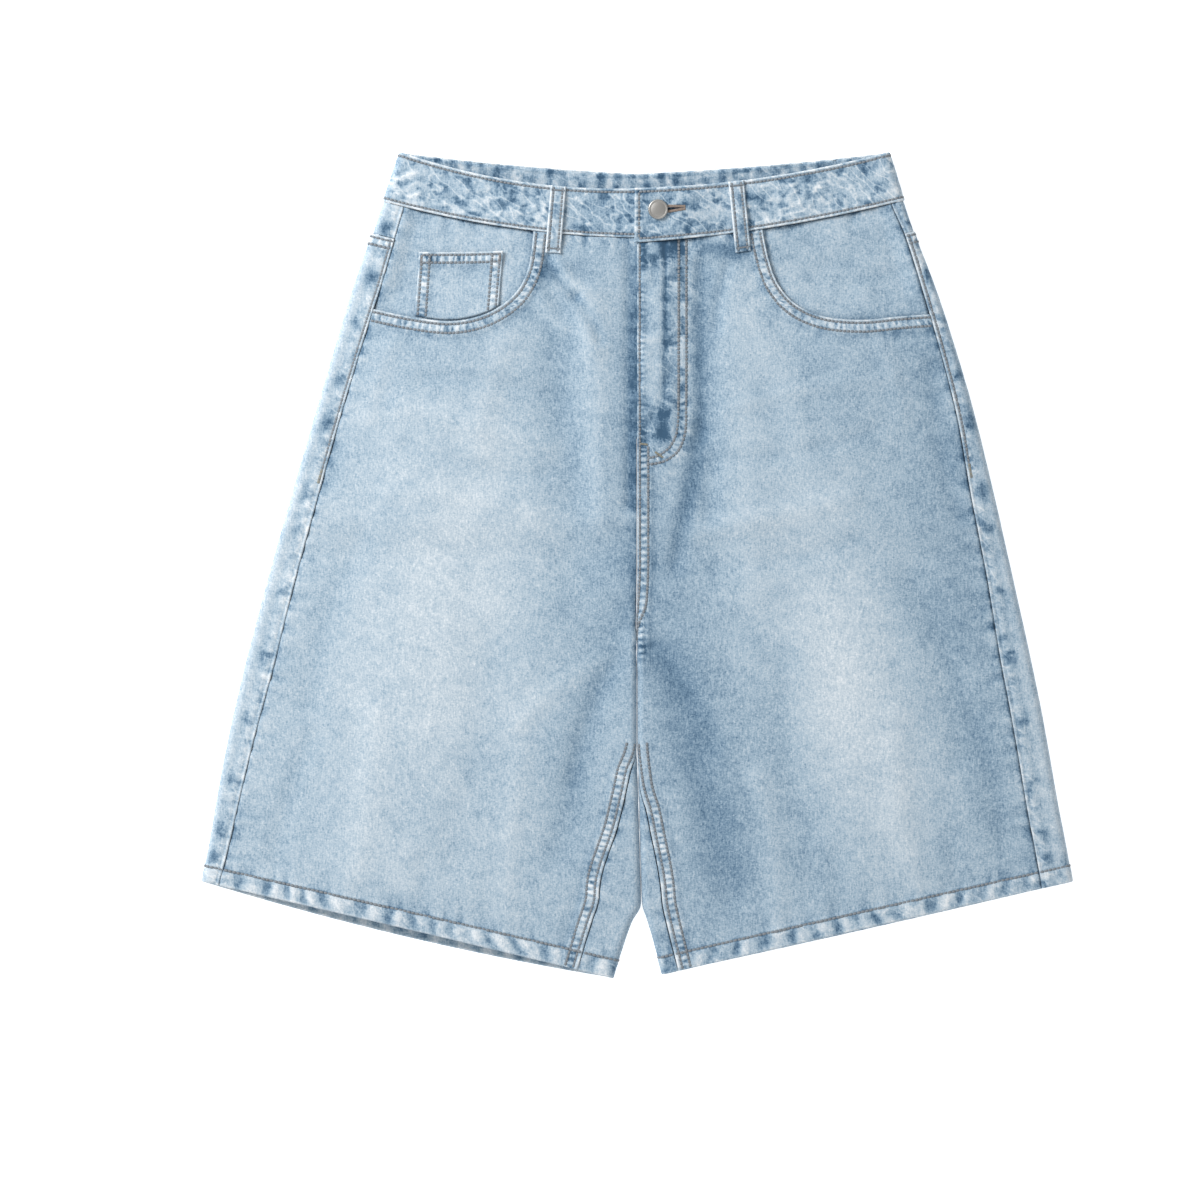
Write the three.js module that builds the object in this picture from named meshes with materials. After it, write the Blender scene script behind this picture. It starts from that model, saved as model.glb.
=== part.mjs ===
// Denim shorts laid flat on a surface, front side up.
// Millimetres. +X runs to the wearer's left, +Y up to the waist, +Z up from the surface.
// The wearer's right half lies at negative X, the left half at positive X.
import * as THREE from 'three';

// Cloth and how far its pieces keep apart
const CLOTH = 1.2;
const BAND_CLOTH = 2.4;
const HEM_CLOTH = 2.4;
const POCKET_CLOTH = 1.6;
const LOOP_CLOTH = 1.6;
const GAP = 0.3;
const HALF_GAP = GAP / 2;
const INSEAM_HALF_GAP = 0.35;

// The flat tube that the front and back make together
const FOLD_RADIUS = 5;
const LOFT = 11;
const QUARTER_FOLD = FOLD_RADIUS * Math.PI / 2;
const FOLD_EXTRA = QUARTER_FOLD - FOLD_RADIUS;

// The waist seam's Y at the centre front, and distances down from it
const WAIST_Y = 262;
const BAND_TOP = -40;
const CROTCH = 323;
const LEG_FORMS = 262;
const LEG_PARTING = 0.4;

// Hem: the cloth is doubled below its stitch row
const HEM_LINE = 592;
const HEM_DEPTH = 15;
const HEM_STEP = 2.5;
const HEM_RAISE = 0.6;

// The seat rests on the back pockets and loops, the legs on the surface
const SEAT_LIFT = POCKET_CLOTH + GAP;
const SEAT_END = 5;
const SEAT_RAMP = 35;

// Fly: the left front laps over the right one
const FLY_LAP = 10;
const FLY_LAP_FADE = { from: 138, to: 162 };
const FLY_WIDTH = 40;
const FLY_LIFT = CLOTH + GAP + 0.1;
const FLY_END = 170;
const FLY_FADE = 40;

// Waistband ends and the button between them
const BAND_LIFT = 1;
const BAND_LAP = 28;
const BAND_END = 2;
const BAND_LAP_LIFT = BAND_CLOTH + GAP;
const BAND_LAP_FADE = { from: BAND_LAP + 4.3, to: 73 };
const BUTTON = { x: 17, down: -23.5, radius: 8, shank: 1.7 };
const BUTTONHOLE = { fromX: 12.8, toX: 39.5, halfWidth: 2.1 };

// Hand pockets
const FACING_UNDER = 12;
const FACING_DROP = 2;
const FACING_RISE = { fromShare: 0.87, fromDepth: 0.6, toDepth: 0.9 };
const SCOOP_TURN = 0.42;

// Patch pockets, loops and the yoke
const COIN_POCKET = {
  innerX: 108, outerX: 176, innerDown: 19.5, outerDown: 33, lean: 4, cloth: 1, footGap: 1.5,
};
const BACK_POCKET = { width: 140, side: 118, point: 142, footIn: 4, centreX: 102, topY: 188, tilt: 0.06 };
const LOOP_WIDTH = 12.6;
const LOOP_BELOW = 16.5;
const LOOP_BOW = 0.8;
const YOKE_SIDE = 27;
const YOKE_CENTRE = 67;
const YOKE_TURN = 0.05;

// Stations of the nets: rows are distances down, columns distances in from an edge
const LEG_ROWS = [85, 110, 135, 160, 185, 210, 236, 262, 280, 297, 311, 323, 340, 362, 384, 400, 412, 424,
  436, 453, 471, 492, 513, 533, 548];
const HEM_ROWS = [HEM_LINE - HEM_DEPTH - HEM_STEP, HEM_LINE - HEM_DEPTH, HEM_LINE];
const HOLE_TOP = BUTTON.down - BUTTONHOLE.halfWidth;
const BAND_ROWS = [BAND_TOP, HOLE_TOP, BUTTON.down + BUTTONHOLE.halfWidth, -HALF_GAP];
const FRONT_COLUMNS = [0, 4, 8, 15];
const FRONT_TURN_BELOW = 8;
const FRONT_TURN_END = 185;
const FRONT_EVEN_FROM = 236;
const BACK_TOP = 30;
const BACK_ROWS = [BACK_TOP, 58];
const BACK_EVEN_FROM = 160;
const SEAT_EDGE = 45;
const FOLD_COLUMN = 3;
const BAND_FOLD_COLUMN = 4;

const table = (columns, rows) => rows.map((row) => (
  Object.fromEntries(row.map((value, i) => [columns[i], value]))));

// Each row is one section across a half. down is measured at the centre front. outerX, outerY place the
// outer fold, innerX the inner fold from the centre line, frontY and backY the inner end of the section
// on the two layers. sideSeam and inseam are the distances of the two seams from those folds, on the
// upper layer. The sags bow a section towards the hem.
const SECTION = ['down', 'outerX', 'outerY', 'innerX', 'frontY', 'backY', 'sideSeam', 'inseam', 'frontSag',
  'backSag'];
const RIGHT_SECTIONS = table(SECTION, [
  [-40, 189.6, 330.8, 0, 301.8, 314, 16, 0, -9, -2],
  [0, 203, 291, 0, 262, 274, 17, 0, -6.5, -2],
  [75, 227.7, 222, 0, 187, 196, 21.3, 0, -5, -2],
  [180, 256.6, 125.6, 0, 82, 87, 20.6, 0, -3, -2],
  [260, 278, 52, 0, 2, 4, 21.4, 0, -2, -2],
  [323, 294.5, -5.8, 0, -61, -61, 22, 0, -1, -1],
  [400, 313.1, -76.6, 0, -138, -138, 23, 0, 0, -1],
  [435, 320.9, -108.8, -0.8, -173, -173, 22, 7.3, 0, -2],
  [470, 328, -141, -1.8, -208, -208, 20.6, 16, 0, -3],
  [533, 338.7, -199, -3.4, -271, -271, 17.6, 34, 0, -5],
  [548, 341, -212.5, 4, -286, -286, 17, 30.5, 0, -5.5],
  [592, 348.6, -253, 18.6, -330.5, -330.5, 14.4, 29.5, 0.8, -6],
]);
const LEFT_SECTIONS = table(SECTION, [
  [-40, 201.6, 330.8, 0, 301.8, 314, 11, 0, -6, -2],
  [0, 213.6, 292, 0, 258, 274, 10.4, 0, -5, -2],
  [28, 222, 266.4, 0, 230.5, 245, 8, 0, -4.5, -2],
  [75, 239, 223, 0, 184, 196, 11, 0, -4, -2],
  [180, 268.8, 126.6, 0, 80.5, 87, 14.2, 0, -3, -2],
  [260, 286.8, 53, 0, 1.5, 4, 18.8, 0, -2, -2],
  [323, 300, -4.8, 0, -61, -61, 20.6, 0, -1, -1],
  [400, 315.6, -75.6, 0, -138, -138, 24.4, 0, 0, 0],
  [435, 322.4, -108, 1, -173, -173, 25, 1.5, 0, 0],
  [470, 328.4, -140.2, 1.8, -208, -208, 25.2, 7.5, 0, 0],
  [533, 338.7, -198.5, 3.8, -270, -270, 25.6, 16, 0, -0.5],
  [548, 341.5, -212.3, 8.2, -285, -285, 25.6, 14.3, 0, -0.8],
  [592, 349, -253, 20, -327.5, -327.5, 25.6, 13, 0.5, -1],
]);

// Edge of each hand pocket's scoop, from the waist seam round to the side seam
const RIGHT_SCOOP = table(['x', 'y'], [
  [82.8, 266.5], [87.4, 236.4], [99.5, 215.6], [121.2, 201.2], [148.8, 195.3], [180.8, 198.8], [211, 205.2],
]);
const LEFT_SCOOP = table(['x', 'y'], [
  [100.3, 269.5], [104.5, 248], [112.4, 226], [127, 209.2], [150, 199], [180, 196.4], [210, 199.2],
  [235, 201],
]);

// The largest folds of the upper layer, each a soft ridge or trough along a line
const FOLDS = table(['name', 'fromX', 'fromY', 'toX', 'toY', 'halfWidth', 'height'], [
  ['right thigh swell', -160, 150, -195, -230, 62, 2.6],
  ['left thigh swell', 150, 140, 195, -230, 62, 2.6],
  ['right inner leg trough', -12, -40, -62, -225, 16, -1.6],
  ['left inner leg trough', 20, -60, 76, -262, 17, -1.6],
  ['right centre trough', -74, 200, -40, -70, 24, -1.2],
  ['ridge beside the fly', -36, 215, -28, 40, 13, 1.6],
  ['drag line from the loop', -62, 236, -34, 176, 9, 1.3],
  ['trough beside the fly', 56, 235, 57, 40, 10, -1.5],
  ['ridge past the fly', 84, 190, 92, -20, 20, 1.2],
  ['left whisker', 44, 26, 170, 54, 9, 1],
  ['right whisker', -70, 96, -190, 128, 10, 0.9],
  ['left pocket sag', 150, 232, 205, 236, 18, -0.8],
  ['right pocket sag', -135, 230, -180, 232, 18, -0.8],
]);

const { clamp, lerp, smoothstep } = THREE.MathUtils;
const same = (value) => () => value;
const spread = (from, to, steps) => Array.from({ length: steps + 1 }, (_, i) => lerp(from, to, i / steps));

// Curve through one column of the sections: straight along the band, then smooth, never past a row
function sectionCurve(sections, column) {
  const steps = sections.slice(1).map((row, i) => row.down - sections[i].down);
  const slopes = steps.map((step, i) => (sections[i + 1][column] - sections[i][column]) / step);
  const tangents = sections.map((row, i) => {
    const before = slopes[Math.max(i - 1, 0)];
    const after = slopes[Math.min(i, slopes.length - 1)];
    return before * after <= 0 ? 0 : 2 * before * after / (before + after);
  });
  return (down) => {
    const passed = sections.filter((row) => row.down <= down).length - 1;
    const i = clamp(passed, 0, steps.length - 1);
    const t = (down - sections[i].down) / steps[i];
    if (i === 0) return lerp(sections[0][column], sections[1][column], t);
    const ease = t * t * (3 - 2 * t);
    return lerp(sections[i][column], sections[i + 1][column], ease)
      + steps[i] * (tangents[i] * t * (1 - t) ** 2 - tangents[i + 1] * t * t * (1 - t));
  };
}

// Height of the back over the surface: the seat lies on its pockets and loops
function seatLift(y) {
  return SEAT_LIFT * smoothstep(y, SEAT_END, SEAT_END + SEAT_RAMP);
}

// Height of a fold at a place, fading past both of its ends
function foldHeight(fold, x, y) {
  const alongX = fold.toX - fold.fromX;
  const alongY = fold.toY - fold.fromY;
  const length = Math.hypot(alongX, alongY);
  const along = ((x - fold.fromX) * alongX + (y - fold.fromY) * alongY) / length;
  const across = ((x - fold.fromX) * alongY - (y - fold.fromY) * alongX) / length;
  const past = Math.max(-along, along - length, 0);
  return fold.height * Math.exp(-(across ** 2 + past ** 2) / fold.halfWidth ** 2);
}

function frontHeight(x, y) {
  return LOFT + seatLift(y) + FOLDS.reduce((sum, fold) => sum + foldHeight(fold, x, y), 0);
}

// One half of the shorts. Its surface is one sheet over two measures: down, and round, the distance
// from the outer fold, negative on the front layer and positive on the back one.
class Half {
  constructor(side, sections, scoop) {
    this.side = side;
    for (const column of SECTION.slice(1)) this[column] = sectionCurve(sections, column);
    this.scoop = new THREE.SplineCurve(scoop.map((point) => new THREE.Vector2(point.x, point.y)));
  }

  // 0 where the section crosses the body, 1 where each leg closes on itself
  legness(down) {
    return smoothstep(down, LEG_FORMS, CROTCH);
  }

  inner(onFront, down) {
    const x = this.innerX(down) + this.legness(down) * LEG_PARTING / 2;
    return new THREE.Vector2(x, onFront ? this.frontY(down) : this.backY(down));
  }

  outer(down) {
    return new THREE.Vector2(this.outerX(down), this.outerY(down));
  }

  width(onFront, down) {
    return this.inner(onFront, down).distanceTo(this.outer(down));
  }

  // Length of cloth across one layer, with its share of the folds
  girth(onFront, down) {
    return this.width(onFront, down) + FOLD_EXTRA * (1 + this.legness(down));
  }

  layerPoint(onFront, down, fromInner) {
    const width = this.width(onFront, down);
    const girth = this.girth(onFront, down);
    const legness = this.legness(down);
    const inward = Math.min(fromInner / FOLD_RADIUS, Math.PI / 2);
    const outward = Math.min((girth - fromInner) / FOLD_RADIUS, Math.PI / 2);
    const fold = (angle, run) => (
      angle < Math.PI / 2 ? FOLD_RADIUS * (1 - Math.cos(angle)) : run - FOLD_EXTRA);
    const runIn = lerp(fromInner, fold(inward, fromInner), legness);
    const runOut = fold(outward, girth - fromInner);
    const share = fromInner < girth / 2 ? runIn / width : 1 - runOut / width;
    const rise = lerp(1, Math.sin(inward), legness) * Math.sin(outward);
    const plan = this.inner(onFront, down).lerp(this.outer(down), share);
    const sag = onFront ? this.frontSag(down) : this.backSag(down);
    plan.y += sag * 4 * share * (1 - share);
    const x = this.side * plan.x;
    const lift = seatLift(plan.y);
    const z = lerp(lift + LOFT / 2, onFront ? frontHeight(x, plan.y) : lift, rise);
    return new THREE.Vector3(x, plan.y, z);
  }

  // Place on the outside of the cloth. Past the back's inner fold it comes up on the front again.
  place(down, round) {
    if (round <= 0) return this.layerPoint(true, down, this.girth(true, down) + round);
    const back = this.girth(false, down);
    if (round <= back || this.legness(down) < 1) return this.layerPoint(false, down, back - round);
    return this.layerPoint(true, down, round - back);
  }

  normal(down, round) {
    const step = 0.05;
    const across = this.place(down, round + step).sub(this.place(down, round - step));
    const along = this.place(down + step, round).sub(this.place(down - step, round));
    return across.cross(along).multiplyScalar(-this.side).normalize();
  }

  // The measures of a place on the front layer, found by closing in on it
  measure(x, y) {
    const turns = 12;
    const at = { down: WAIST_Y - y, fromInner: x };
    for (let turn = 0; turn < turns; turn++) {
      const now = this.layerPoint(true, at.down, at.fromInner);
      at.fromInner += x - this.side * now.x;
      at.down -= y - now.y;
    }
    return at;
  }

  // A place along the scoop, moved into the opening by a distance
  scoopAt(share, into = 0) {
    const point = this.scoop.getPointAt(share);
    const tangent = this.scoop.getTangentAt(share);
    return this.measure(point.x - tangent.y * into, point.y + tangent.x * into);
  }

  sideEdge(down) {
    return this.girth(true, down) - this.sideSeam(down) - FOLD_EXTRA - HALF_GAP;
  }

  innerEdge(down) {
    const seam = this.inseam(down) + FOLD_EXTRA * clamp(this.inseam(down) / FOLD_RADIUS, 0, 1);
    return seam + INSEAM_HALF_GAP;
  }
}

const right = new Half(-1, RIGHT_SECTIONS, RIGHT_SCOOP);
const left = new Half(1, LEFT_SECTIONS, LEFT_SCOOP);

// Stations on the front layer are placed by their distance from the inner fold
function onFront(half, down, fromInner) {
  return { half, down, round: fromInner - half.girth(true, down) };
}

function fromInnerFold(station) {
  return station.round + station.half.girth(true, station.down);
}

const DENIM = { color: 0xa9c1d6, roughness: 0.9, metalness: 0 };
const DENIM_DARK = { color: 0x8fabc4, roughness: 0.9, metalness: 0 };
const METAL = { color: 0xa8a9ab, roughness: 0.35, metalness: 1 };

const garment = new THREE.Group();

function addPiece(name, geometry, finish) {
  const mesh = new THREE.Mesh(geometry, new THREE.MeshStandardMaterial(finish));
  mesh.name = name;
  garment.add(mesh);
  return mesh;
}

// How much of an outward step a piece takes: all on the front, none on the underside
function frontShare(normal) {
  return smoothstep(normal.z, -0.6, 0.4);
}

// Closed wall of cloth over one or more nets of stations. A net is rows of {half, down, round},
// and the nets are welded where their stations meet. lift moves the outside out, cloth is the
// thickness under it, and both are worked out at every station. skip leaves a cell open.
function clothWall(nets, lift, cloth, skip = () => false) {
  const keys = new Map();
  const outside = [];
  const inside = [];
  const corner = (station) => {
    const normal = station.half.normal(station.down, station.round);
    const raise = lift(station) * frontShare(normal);
    const out = station.half.place(station.down, station.round).addScaledVector(normal, raise);
    const key = out.toArray().map((value) => Math.round(value * 1000) + 0).join();
    if (!keys.has(key)) {
      keys.set(key, outside.length);
      outside.push(out);
      inside.push(out.clone().addScaledVector(normal, -cloth(station)));
    }
    return keys.get(key);
  };
  const triangles = [];
  for (const net of nets) {
    const rows = net.map((row) => row.map(corner));
    for (let j = 0; j + 1 < rows.length; j++) {
      for (let i = 0; i + 1 < rows[j].length; i++) {
        if (skip(net[j][i], net[j + 1][i + 1])) continue;
        const [a, b, c, d] = [rows[j][i], rows[j][i + 1], rows[j + 1][i + 1], rows[j + 1][i]];
        const shortWay = outside[a].distanceTo(outside[c]) < outside[b].distanceTo(outside[d]);
        const pair = shortWay ? [[a, b, c], [a, c, d]] : [[a, b, d], [b, c, d]];
        const turned = net[j][i].half.side > 0;
        for (const [p, q, r] of pair) triangles.push(turned ? [p, r, q] : [p, q, r]);
      }
    }
  }
  const count = outside.length;
  const edges = new Map();
  const index = [];
  for (const [p, q, r] of triangles) {
    index.push(p, q, r, p + count, r + count, q + count);
    for (const [m, n] of [[p, q], [q, r], [r, p]]) edges.set(`${m},${n}`, [m, n]);
  }
  for (const [m, n] of edges.values()) {
    if (!edges.has(`${n},${m}`)) index.push(n, m, m + count, n, m + count, n + count);
  }
  const geometry = new THREE.BufferGeometry();
  const points = [...outside, ...inside].flatMap((point) => point.toArray());
  geometry.setAttribute('position', new THREE.Float32BufferAttribute(points, 3));
  geometry.setIndex(index);
  return geometry;
}

const hemShare = (down) => smoothstep(down, HEM_ROWS[0], HEM_ROWS[1]);
const hemLift = (station) => HEM_RAISE * hemShare(station.down);
const hemCloth = (station) => lerp(CLOTH, HEM_CLOTH, hemShare(station.down));

// Fly: the right front carries on under the left one, which is raised over it
const underlap = (down) => FLY_LAP * (1 - smoothstep(down, FLY_LAP_FADE.from, FLY_LAP_FADE.to));

function flyLift(station) {
  const alongFly = 1 - smoothstep(station.down, FLY_END, FLY_END + FLY_FADE);
  return FLY_LIFT * alongFly * (1 - smoothstep(fromInnerFold(station), FLY_WIDTH / 2, FLY_WIDTH));
}

// Front panel: a net above the turn of the scoop, and one from there to the hem
function frontPanel(half) {
  const laps = half.side < 0;
  const edge = (down) => half.innerEdge(down) - (laps ? underlap(down) : 0);
  const start = half.scoopAt(SCOOP_TURN).down + FRONT_TURN_BELOW;
  const edgeColumns = FRONT_COLUMNS.length - 1;
  const evenFrom = FRONT_COLUMNS[edgeColumns];
  const upper = spread(0, 1, 3).map((t) => {
    const at = half.scoopAt(t * SCOOP_TURN);
    const end = t === 0 ? { ...at, down: HALF_GAP } : at;
    const first = lerp(HALF_GAP, start, t);
    const span = end.fromInner - edge(first);
    const nearEdge = FRONT_COLUMNS.map((offset) => offset / span);
    const shares = [...nearEdge, ...spread(evenFrom / span, 1, 5).slice(1)];
    return shares.map((share) => (
      onFront(half, lerp(first, end.down, share), lerp(edge(first), end.fromInner, share))));
  });
  const along = spread(SCOOP_TURN, 1, 10).slice(1).map((share) => {
    const at = half.scoopAt(share);
    return onFront(half, at.down, share === 1 ? half.sideEdge(at.down) : at.fromInner);
  });
  const top = [...upper[upper.length - 1], ...along];
  const topShares = top.map((station) => {
    const from = edge(station.down);
    return (fromInnerFold(station) - from) / (half.sideEdge(station.down) - from);
  });
  const rows = [...LEG_ROWS, ...HEM_ROWS].map((nominal) => {
    const hold = 1 - smoothstep(nominal, start, FRONT_EVEN_FROM);
    const nearTop = 1 - smoothstep(nominal, start, FRONT_TURN_END);
    const fade = nearTop * (FRONT_TURN_END - nominal) / (FRONT_TURN_END - start);
    return top.map((station, i) => {
      const down = nominal + fade * (station.down - start);
      const span = half.sideEdge(down) - edge(down);
      const past = (i - edgeColumns) / (top.length - 1 - edgeColumns);
      const share = i <= edgeColumns
        ? FRONT_COLUMNS[i] / span
        : lerp(lerp(evenFrom / span, 1, past), topShares[i], hold);
      return onFront(half, down, lerp(edge(down), half.sideEdge(down), share));
    });
  });
  const lift = (station) => hemLift(station) + (laps ? 0 : flyLift(station));
  return clothWall([upper, [top, ...rows]], lift, hemCloth);
}

// Pocket facing: it runs under the front panel past the scoop, and comes up to the side seam below it
function facingDrop(share, depth) {
  const { fromShare, fromDepth, toDepth } = FACING_RISE;
  return FACING_DROP * (1 - smoothstep(share, fromShare, 1) * (1 - smoothstep(depth, fromDepth, toDepth)));
}

function pocketFacing(half) {
  const scoop = (share) => half.scoopAt(share, -FACING_UNDER);
  const atSide = (down) => ({ down, fromInner: half.sideEdge(down) });
  const innerTop = { down: HALF_GAP, fromInner: scoop(0).fromInner };
  const corner = scoop(SCOOP_TURN);
  const sideFoot = atSide(scoop(1).down);
  const sideTop = atSide(HALF_GAP);
  const inward = (t) => (t === 0 ? innerTop : scoop(t * SCOOP_TURN));
  const below = (s) => (s === 1 ? sideFoot : scoop(lerp(SCOOP_TURN, 1, s)));
  const outward = (t) => atSide(lerp(HALF_GAP, sideFoot.down, t));
  const above = (s) => ({ down: HALF_GAP, fromInner: lerp(innerTop.fromInner, sideTop.fromInner, s) });
  const blend = (s, t, key) => lerp(above(s)[key], below(s)[key], t)
    + lerp(inward(t)[key], outward(t)[key], s)
    - lerp(lerp(innerTop[key], sideTop[key], s), lerp(corner[key], sideFoot[key], s), t);
  const net = spread(0, 1, 7).map((t) => spread(0, 1, 8).map((s) => {
    const station = onFront(half, blend(s, t, 'down'), blend(s, t, 'fromInner'));
    return { ...station, drop: facingDrop(s, t) };
  }));
  return clothWall([net], (station) => -station.drop, same(CLOTH));
}

// Coin pocket: stands on the facing and ends at the scoop
function coinPocket(half) {
  const { innerX, outerX, innerDown, outerDown, lean, cloth, footGap } = COIN_POCKET;
  const alongScoop = spread(0.3, 0.9, 120).map((share) => half.scoopAt(share, footGap));
  const miss = (at, fromInner) => Math.abs(at.fromInner - fromInner);
  const footNear = (fromInner) => alongScoop.reduce((best, at) => (
    miss(at, fromInner) < miss(best, fromInner) ? at : best));
  const net = spread(0, 1, 3).map((t) => spread(0, 1, 7).map((s) => {
    const topAt = lerp(innerX, outerX, s);
    const foot = footNear(topAt + lean);
    return onFront(half, lerp(lerp(innerDown, outerDown, s), foot.down, t), lerp(topAt, foot.fromInner, t));
  }));
  return clothWall([net], same(-FACING_DROP + GAP + cloth), same(cloth));
}

// Girth positions across the back: round the outer fold, across the seat, round the inner fold
function backColumns(half, down) {
  const start = HALF_GAP - half.sideSeam(down) - FOLD_EXTRA;
  const back = half.girth(false, down);
  const legness = half.legness(down);
  const pastInner = legness < 1 ? 0 : half.innerEdge(down) - INSEAM_HALF_GAP;
  const beforeInner = back - lerp(SEAT_EDGE, QUARTER_FOLD, legness);
  return [
    ...spread(start, -FOLD_COLUMN, 3),
    0,
    FOLD_COLUMN,
    ...spread(QUARTER_FOLD, beforeInner, 9),
    ...spread(beforeInner, back + pastInner - INSEAM_HALF_GAP, 7).slice(1),
  ];
}

// Yoke seam: how far down it lies at each of the back's columns
function yokeSeam(half) {
  const back = half.girth(false, BACK_TOP);
  return backColumns(half, BACK_TOP).map((round) => (
    lerp(YOKE_SIDE, YOKE_CENTRE, smoothstep(clamp(round / back, 0, 1), YOKE_TURN, 1))));
}

function backYoke(half) {
  const net = spread(0, 1, 2).map((t) => yokeSeam(half).map((seam, i) => {
    const down = lerp(HALF_GAP, seam - HALF_GAP, t);
    return { half, down, round: backColumns(half, down)[i] };
  }));
  return clothWall([net], same(0), same(CLOTH));
}

function backPanel(half) {
  const net = [...BACK_ROWS, ...LEG_ROWS, ...HEM_ROWS].map((nominal) => {
    const hold = 1 - smoothstep(nominal, BACK_TOP, BACK_EVEN_FROM);
    const fade = hold * (BACK_EVEN_FROM - nominal) / (BACK_EVEN_FROM - BACK_TOP);
    return yokeSeam(half).map((seam, i) => {
      const down = nominal + fade * (seam + HALF_GAP - BACK_TOP);
      return { half, down, round: backColumns(half, down)[i] };
    });
  });
  return clothWall([net], hemLift, hemCloth);
}

// Waistband: from its button end on the right, round the back, to its buttonhole end on the left
function bandLift(station) {
  if (station.half.side < 0 || station.round > 0) return BAND_LIFT;
  return BAND_LIFT
    + BAND_LAP_LIFT * (1 - smoothstep(fromInnerFold(station), BAND_LAP_FADE.from, BAND_LAP_FADE.to));
}

function waistband() {
  const { fromX, toX } = BUTTONHOLE;
  const netOf = (half, columns) => BAND_ROWS.map((down) => {
    const front = half.girth(true, down);
    const toFold = spread(columns[columns.length - 1], front - QUARTER_FOLD, 8).slice(1);
    return [
      ...[...columns, ...toFold].map((fromInner) => fromInner - front),
      -BAND_FOLD_COLUMN,
      0,
      BAND_FOLD_COLUMN,
      ...spread(QUARTER_FOLD, half.girth(false, down), 9),
    ].map((round) => ({ half, down, round }));
  });
  const buttonEnd = netOf(right, [-BAND_LAP, -BAND_LAP / 2, 0]);
  const holeEnd = netOf(left, [-BAND_END, 5, fromX, (fromX + toX) / 2, toX, 56, BAND_LAP_FADE.to]);
  const isHole = (low, high) => {
    if (low.half !== left || low.round > 0 || low.down !== HOLE_TOP) return false;
    const middle = (low.round + high.round) / 2 + left.girth(true, BUTTON.down);
    return middle > fromX && middle < toX;
  };
  return clothWall([buttonEnd, holeEnd], bandLift, same(BAND_CLOTH), isHole);
}

// Front belt loop: stitched at the band's top edge and below its seam, and bowed off it between
function frontLoop({ half, topAt, footAt }) {
  const net = spread(0, 1, 7).map((t) => spread(-0.5, 0.5, 2).map((s) => {
    const station = onFront(half, lerp(BAND_TOP, LOOP_BELOW, t), lerp(topAt, footAt, t) + s * LOOP_WIDTH);
    return { ...station, bow: LOOP_BOW * Math.sin(Math.PI * t) ** 2 };
  }));
  const lift = (station) => {
    const seat = lerp(bandLift(station), 0, smoothstep(station.down, 0, LOOP_BELOW));
    return seat + GAP + LOOP_CLOTH + station.bow;
  };
  return clothWall([net], lift, same(LOOP_CLOTH));
}

// Flat pieces under the seat, drawn in plan and as thick as their cloth
function flatPiece(name, corners, cloth, x, y, turn) {
  const shape = new THREE.Shape(corners.map(([cornerX, cornerY]) => new THREE.Vector2(cornerX, cornerY)));
  const geometry = new THREE.ExtrudeGeometry(shape, { depth: cloth, bevelEnabled: false, steps: 1 });
  const mesh = addPiece(name, geometry, DENIM_DARK);
  mesh.position.set(x, y, 0);
  mesh.rotation.z = turn;
}

function backPocket(name, direction) {
  const half = BACK_POCKET.width / 2;
  const foot = half - BACK_POCKET.footIn;
  const side = BACK_POCKET.side;
  const corners = [[half, 0], [foot, -side], [0, -BACK_POCKET.point], [-foot, -side], [-half, 0]];
  const turn = direction * BACK_POCKET.tilt;
  flatPiece(name, corners, POCKET_CLOTH, direction * BACK_POCKET.centreX, BACK_POCKET.topY, turn);
}

function backLoop({ name, x, topY, turn }) {
  const half = LOOP_WIDTH / 2;
  const length = LOOP_BELOW - BAND_TOP;
  flatPiece(name, [[-half, 0], [-half, -length], [half, -length], [half, 0]], LOOP_CLOTH, x, topY, turn);
}

// Button: domed head with a rolled rim, and a shank down to the button end of the band
function button() {
  const seat = onFront(left, BUTTON.down, BUTTON.x);
  const overUnder = BAND_LIFT + GAP;
  const overBand = overUnder + BAND_LAP_LIFT;
  const head = table(['fromRim', 'height'], [
    [0.8, 0], [0, 0.7], [0, 1.5], [0.7, 2.2], [1.6, 2], [3, 2.3], [BUTTON.radius, 2.6],
  ]);
  const profile = [
    new THREE.Vector2(0, overUnder),
    new THREE.Vector2(BUTTON.shank, overUnder),
    new THREE.Vector2(BUTTON.shank, overBand),
    ...head.map(({ fromRim, height }) => new THREE.Vector2(BUTTON.radius - fromRim, overBand + height)),
  ];
  const geometry = new THREE.LatheGeometry(profile, 28);
  geometry.rotateX(Math.PI / 2);
  addPiece('button', geometry, METAL).position.copy(left.place(seat.down, seat.round));
}

const FRONT_LOOPS = [
  { name: 'belt_loop_front_right', half: right, topAt: 63.6, footAt: 68 },
  { name: 'belt_loop_front_left', half: left, topAt: 80, footAt: 86 },
];
const BACK_LOOPS = [
  { name: 'belt_loop_back_centre', x: 0, topY: 314, turn: 0 },
  { name: 'belt_loop_back_right', x: -118, topY: 322, turn: -0.1 },
  { name: 'belt_loop_back_left', x: 118, topY: 322, turn: 0.1 },
];

addPiece('waistband', waistband(), DENIM);
for (const [half, name] of [[right, 'right'], [left, 'left']]) {
  addPiece(`front_panel_${name}`, frontPanel(half), DENIM);
  addPiece(`pocket_facing_${name}`, pocketFacing(half), DENIM_DARK);
  addPiece(`back_yoke_${name}`, backYoke(half), DENIM_DARK);
  addPiece(`back_panel_${name}`, backPanel(half), DENIM_DARK);
  backPocket(`back_pocket_${name}`, half.side);
}
addPiece('coin_pocket', coinPocket(right), DENIM);
for (const loop of FRONT_LOOPS) addPiece(loop.name, frontLoop(loop), DENIM);
for (const loop of BACK_LOOPS) backLoop(loop);
button();

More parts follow.
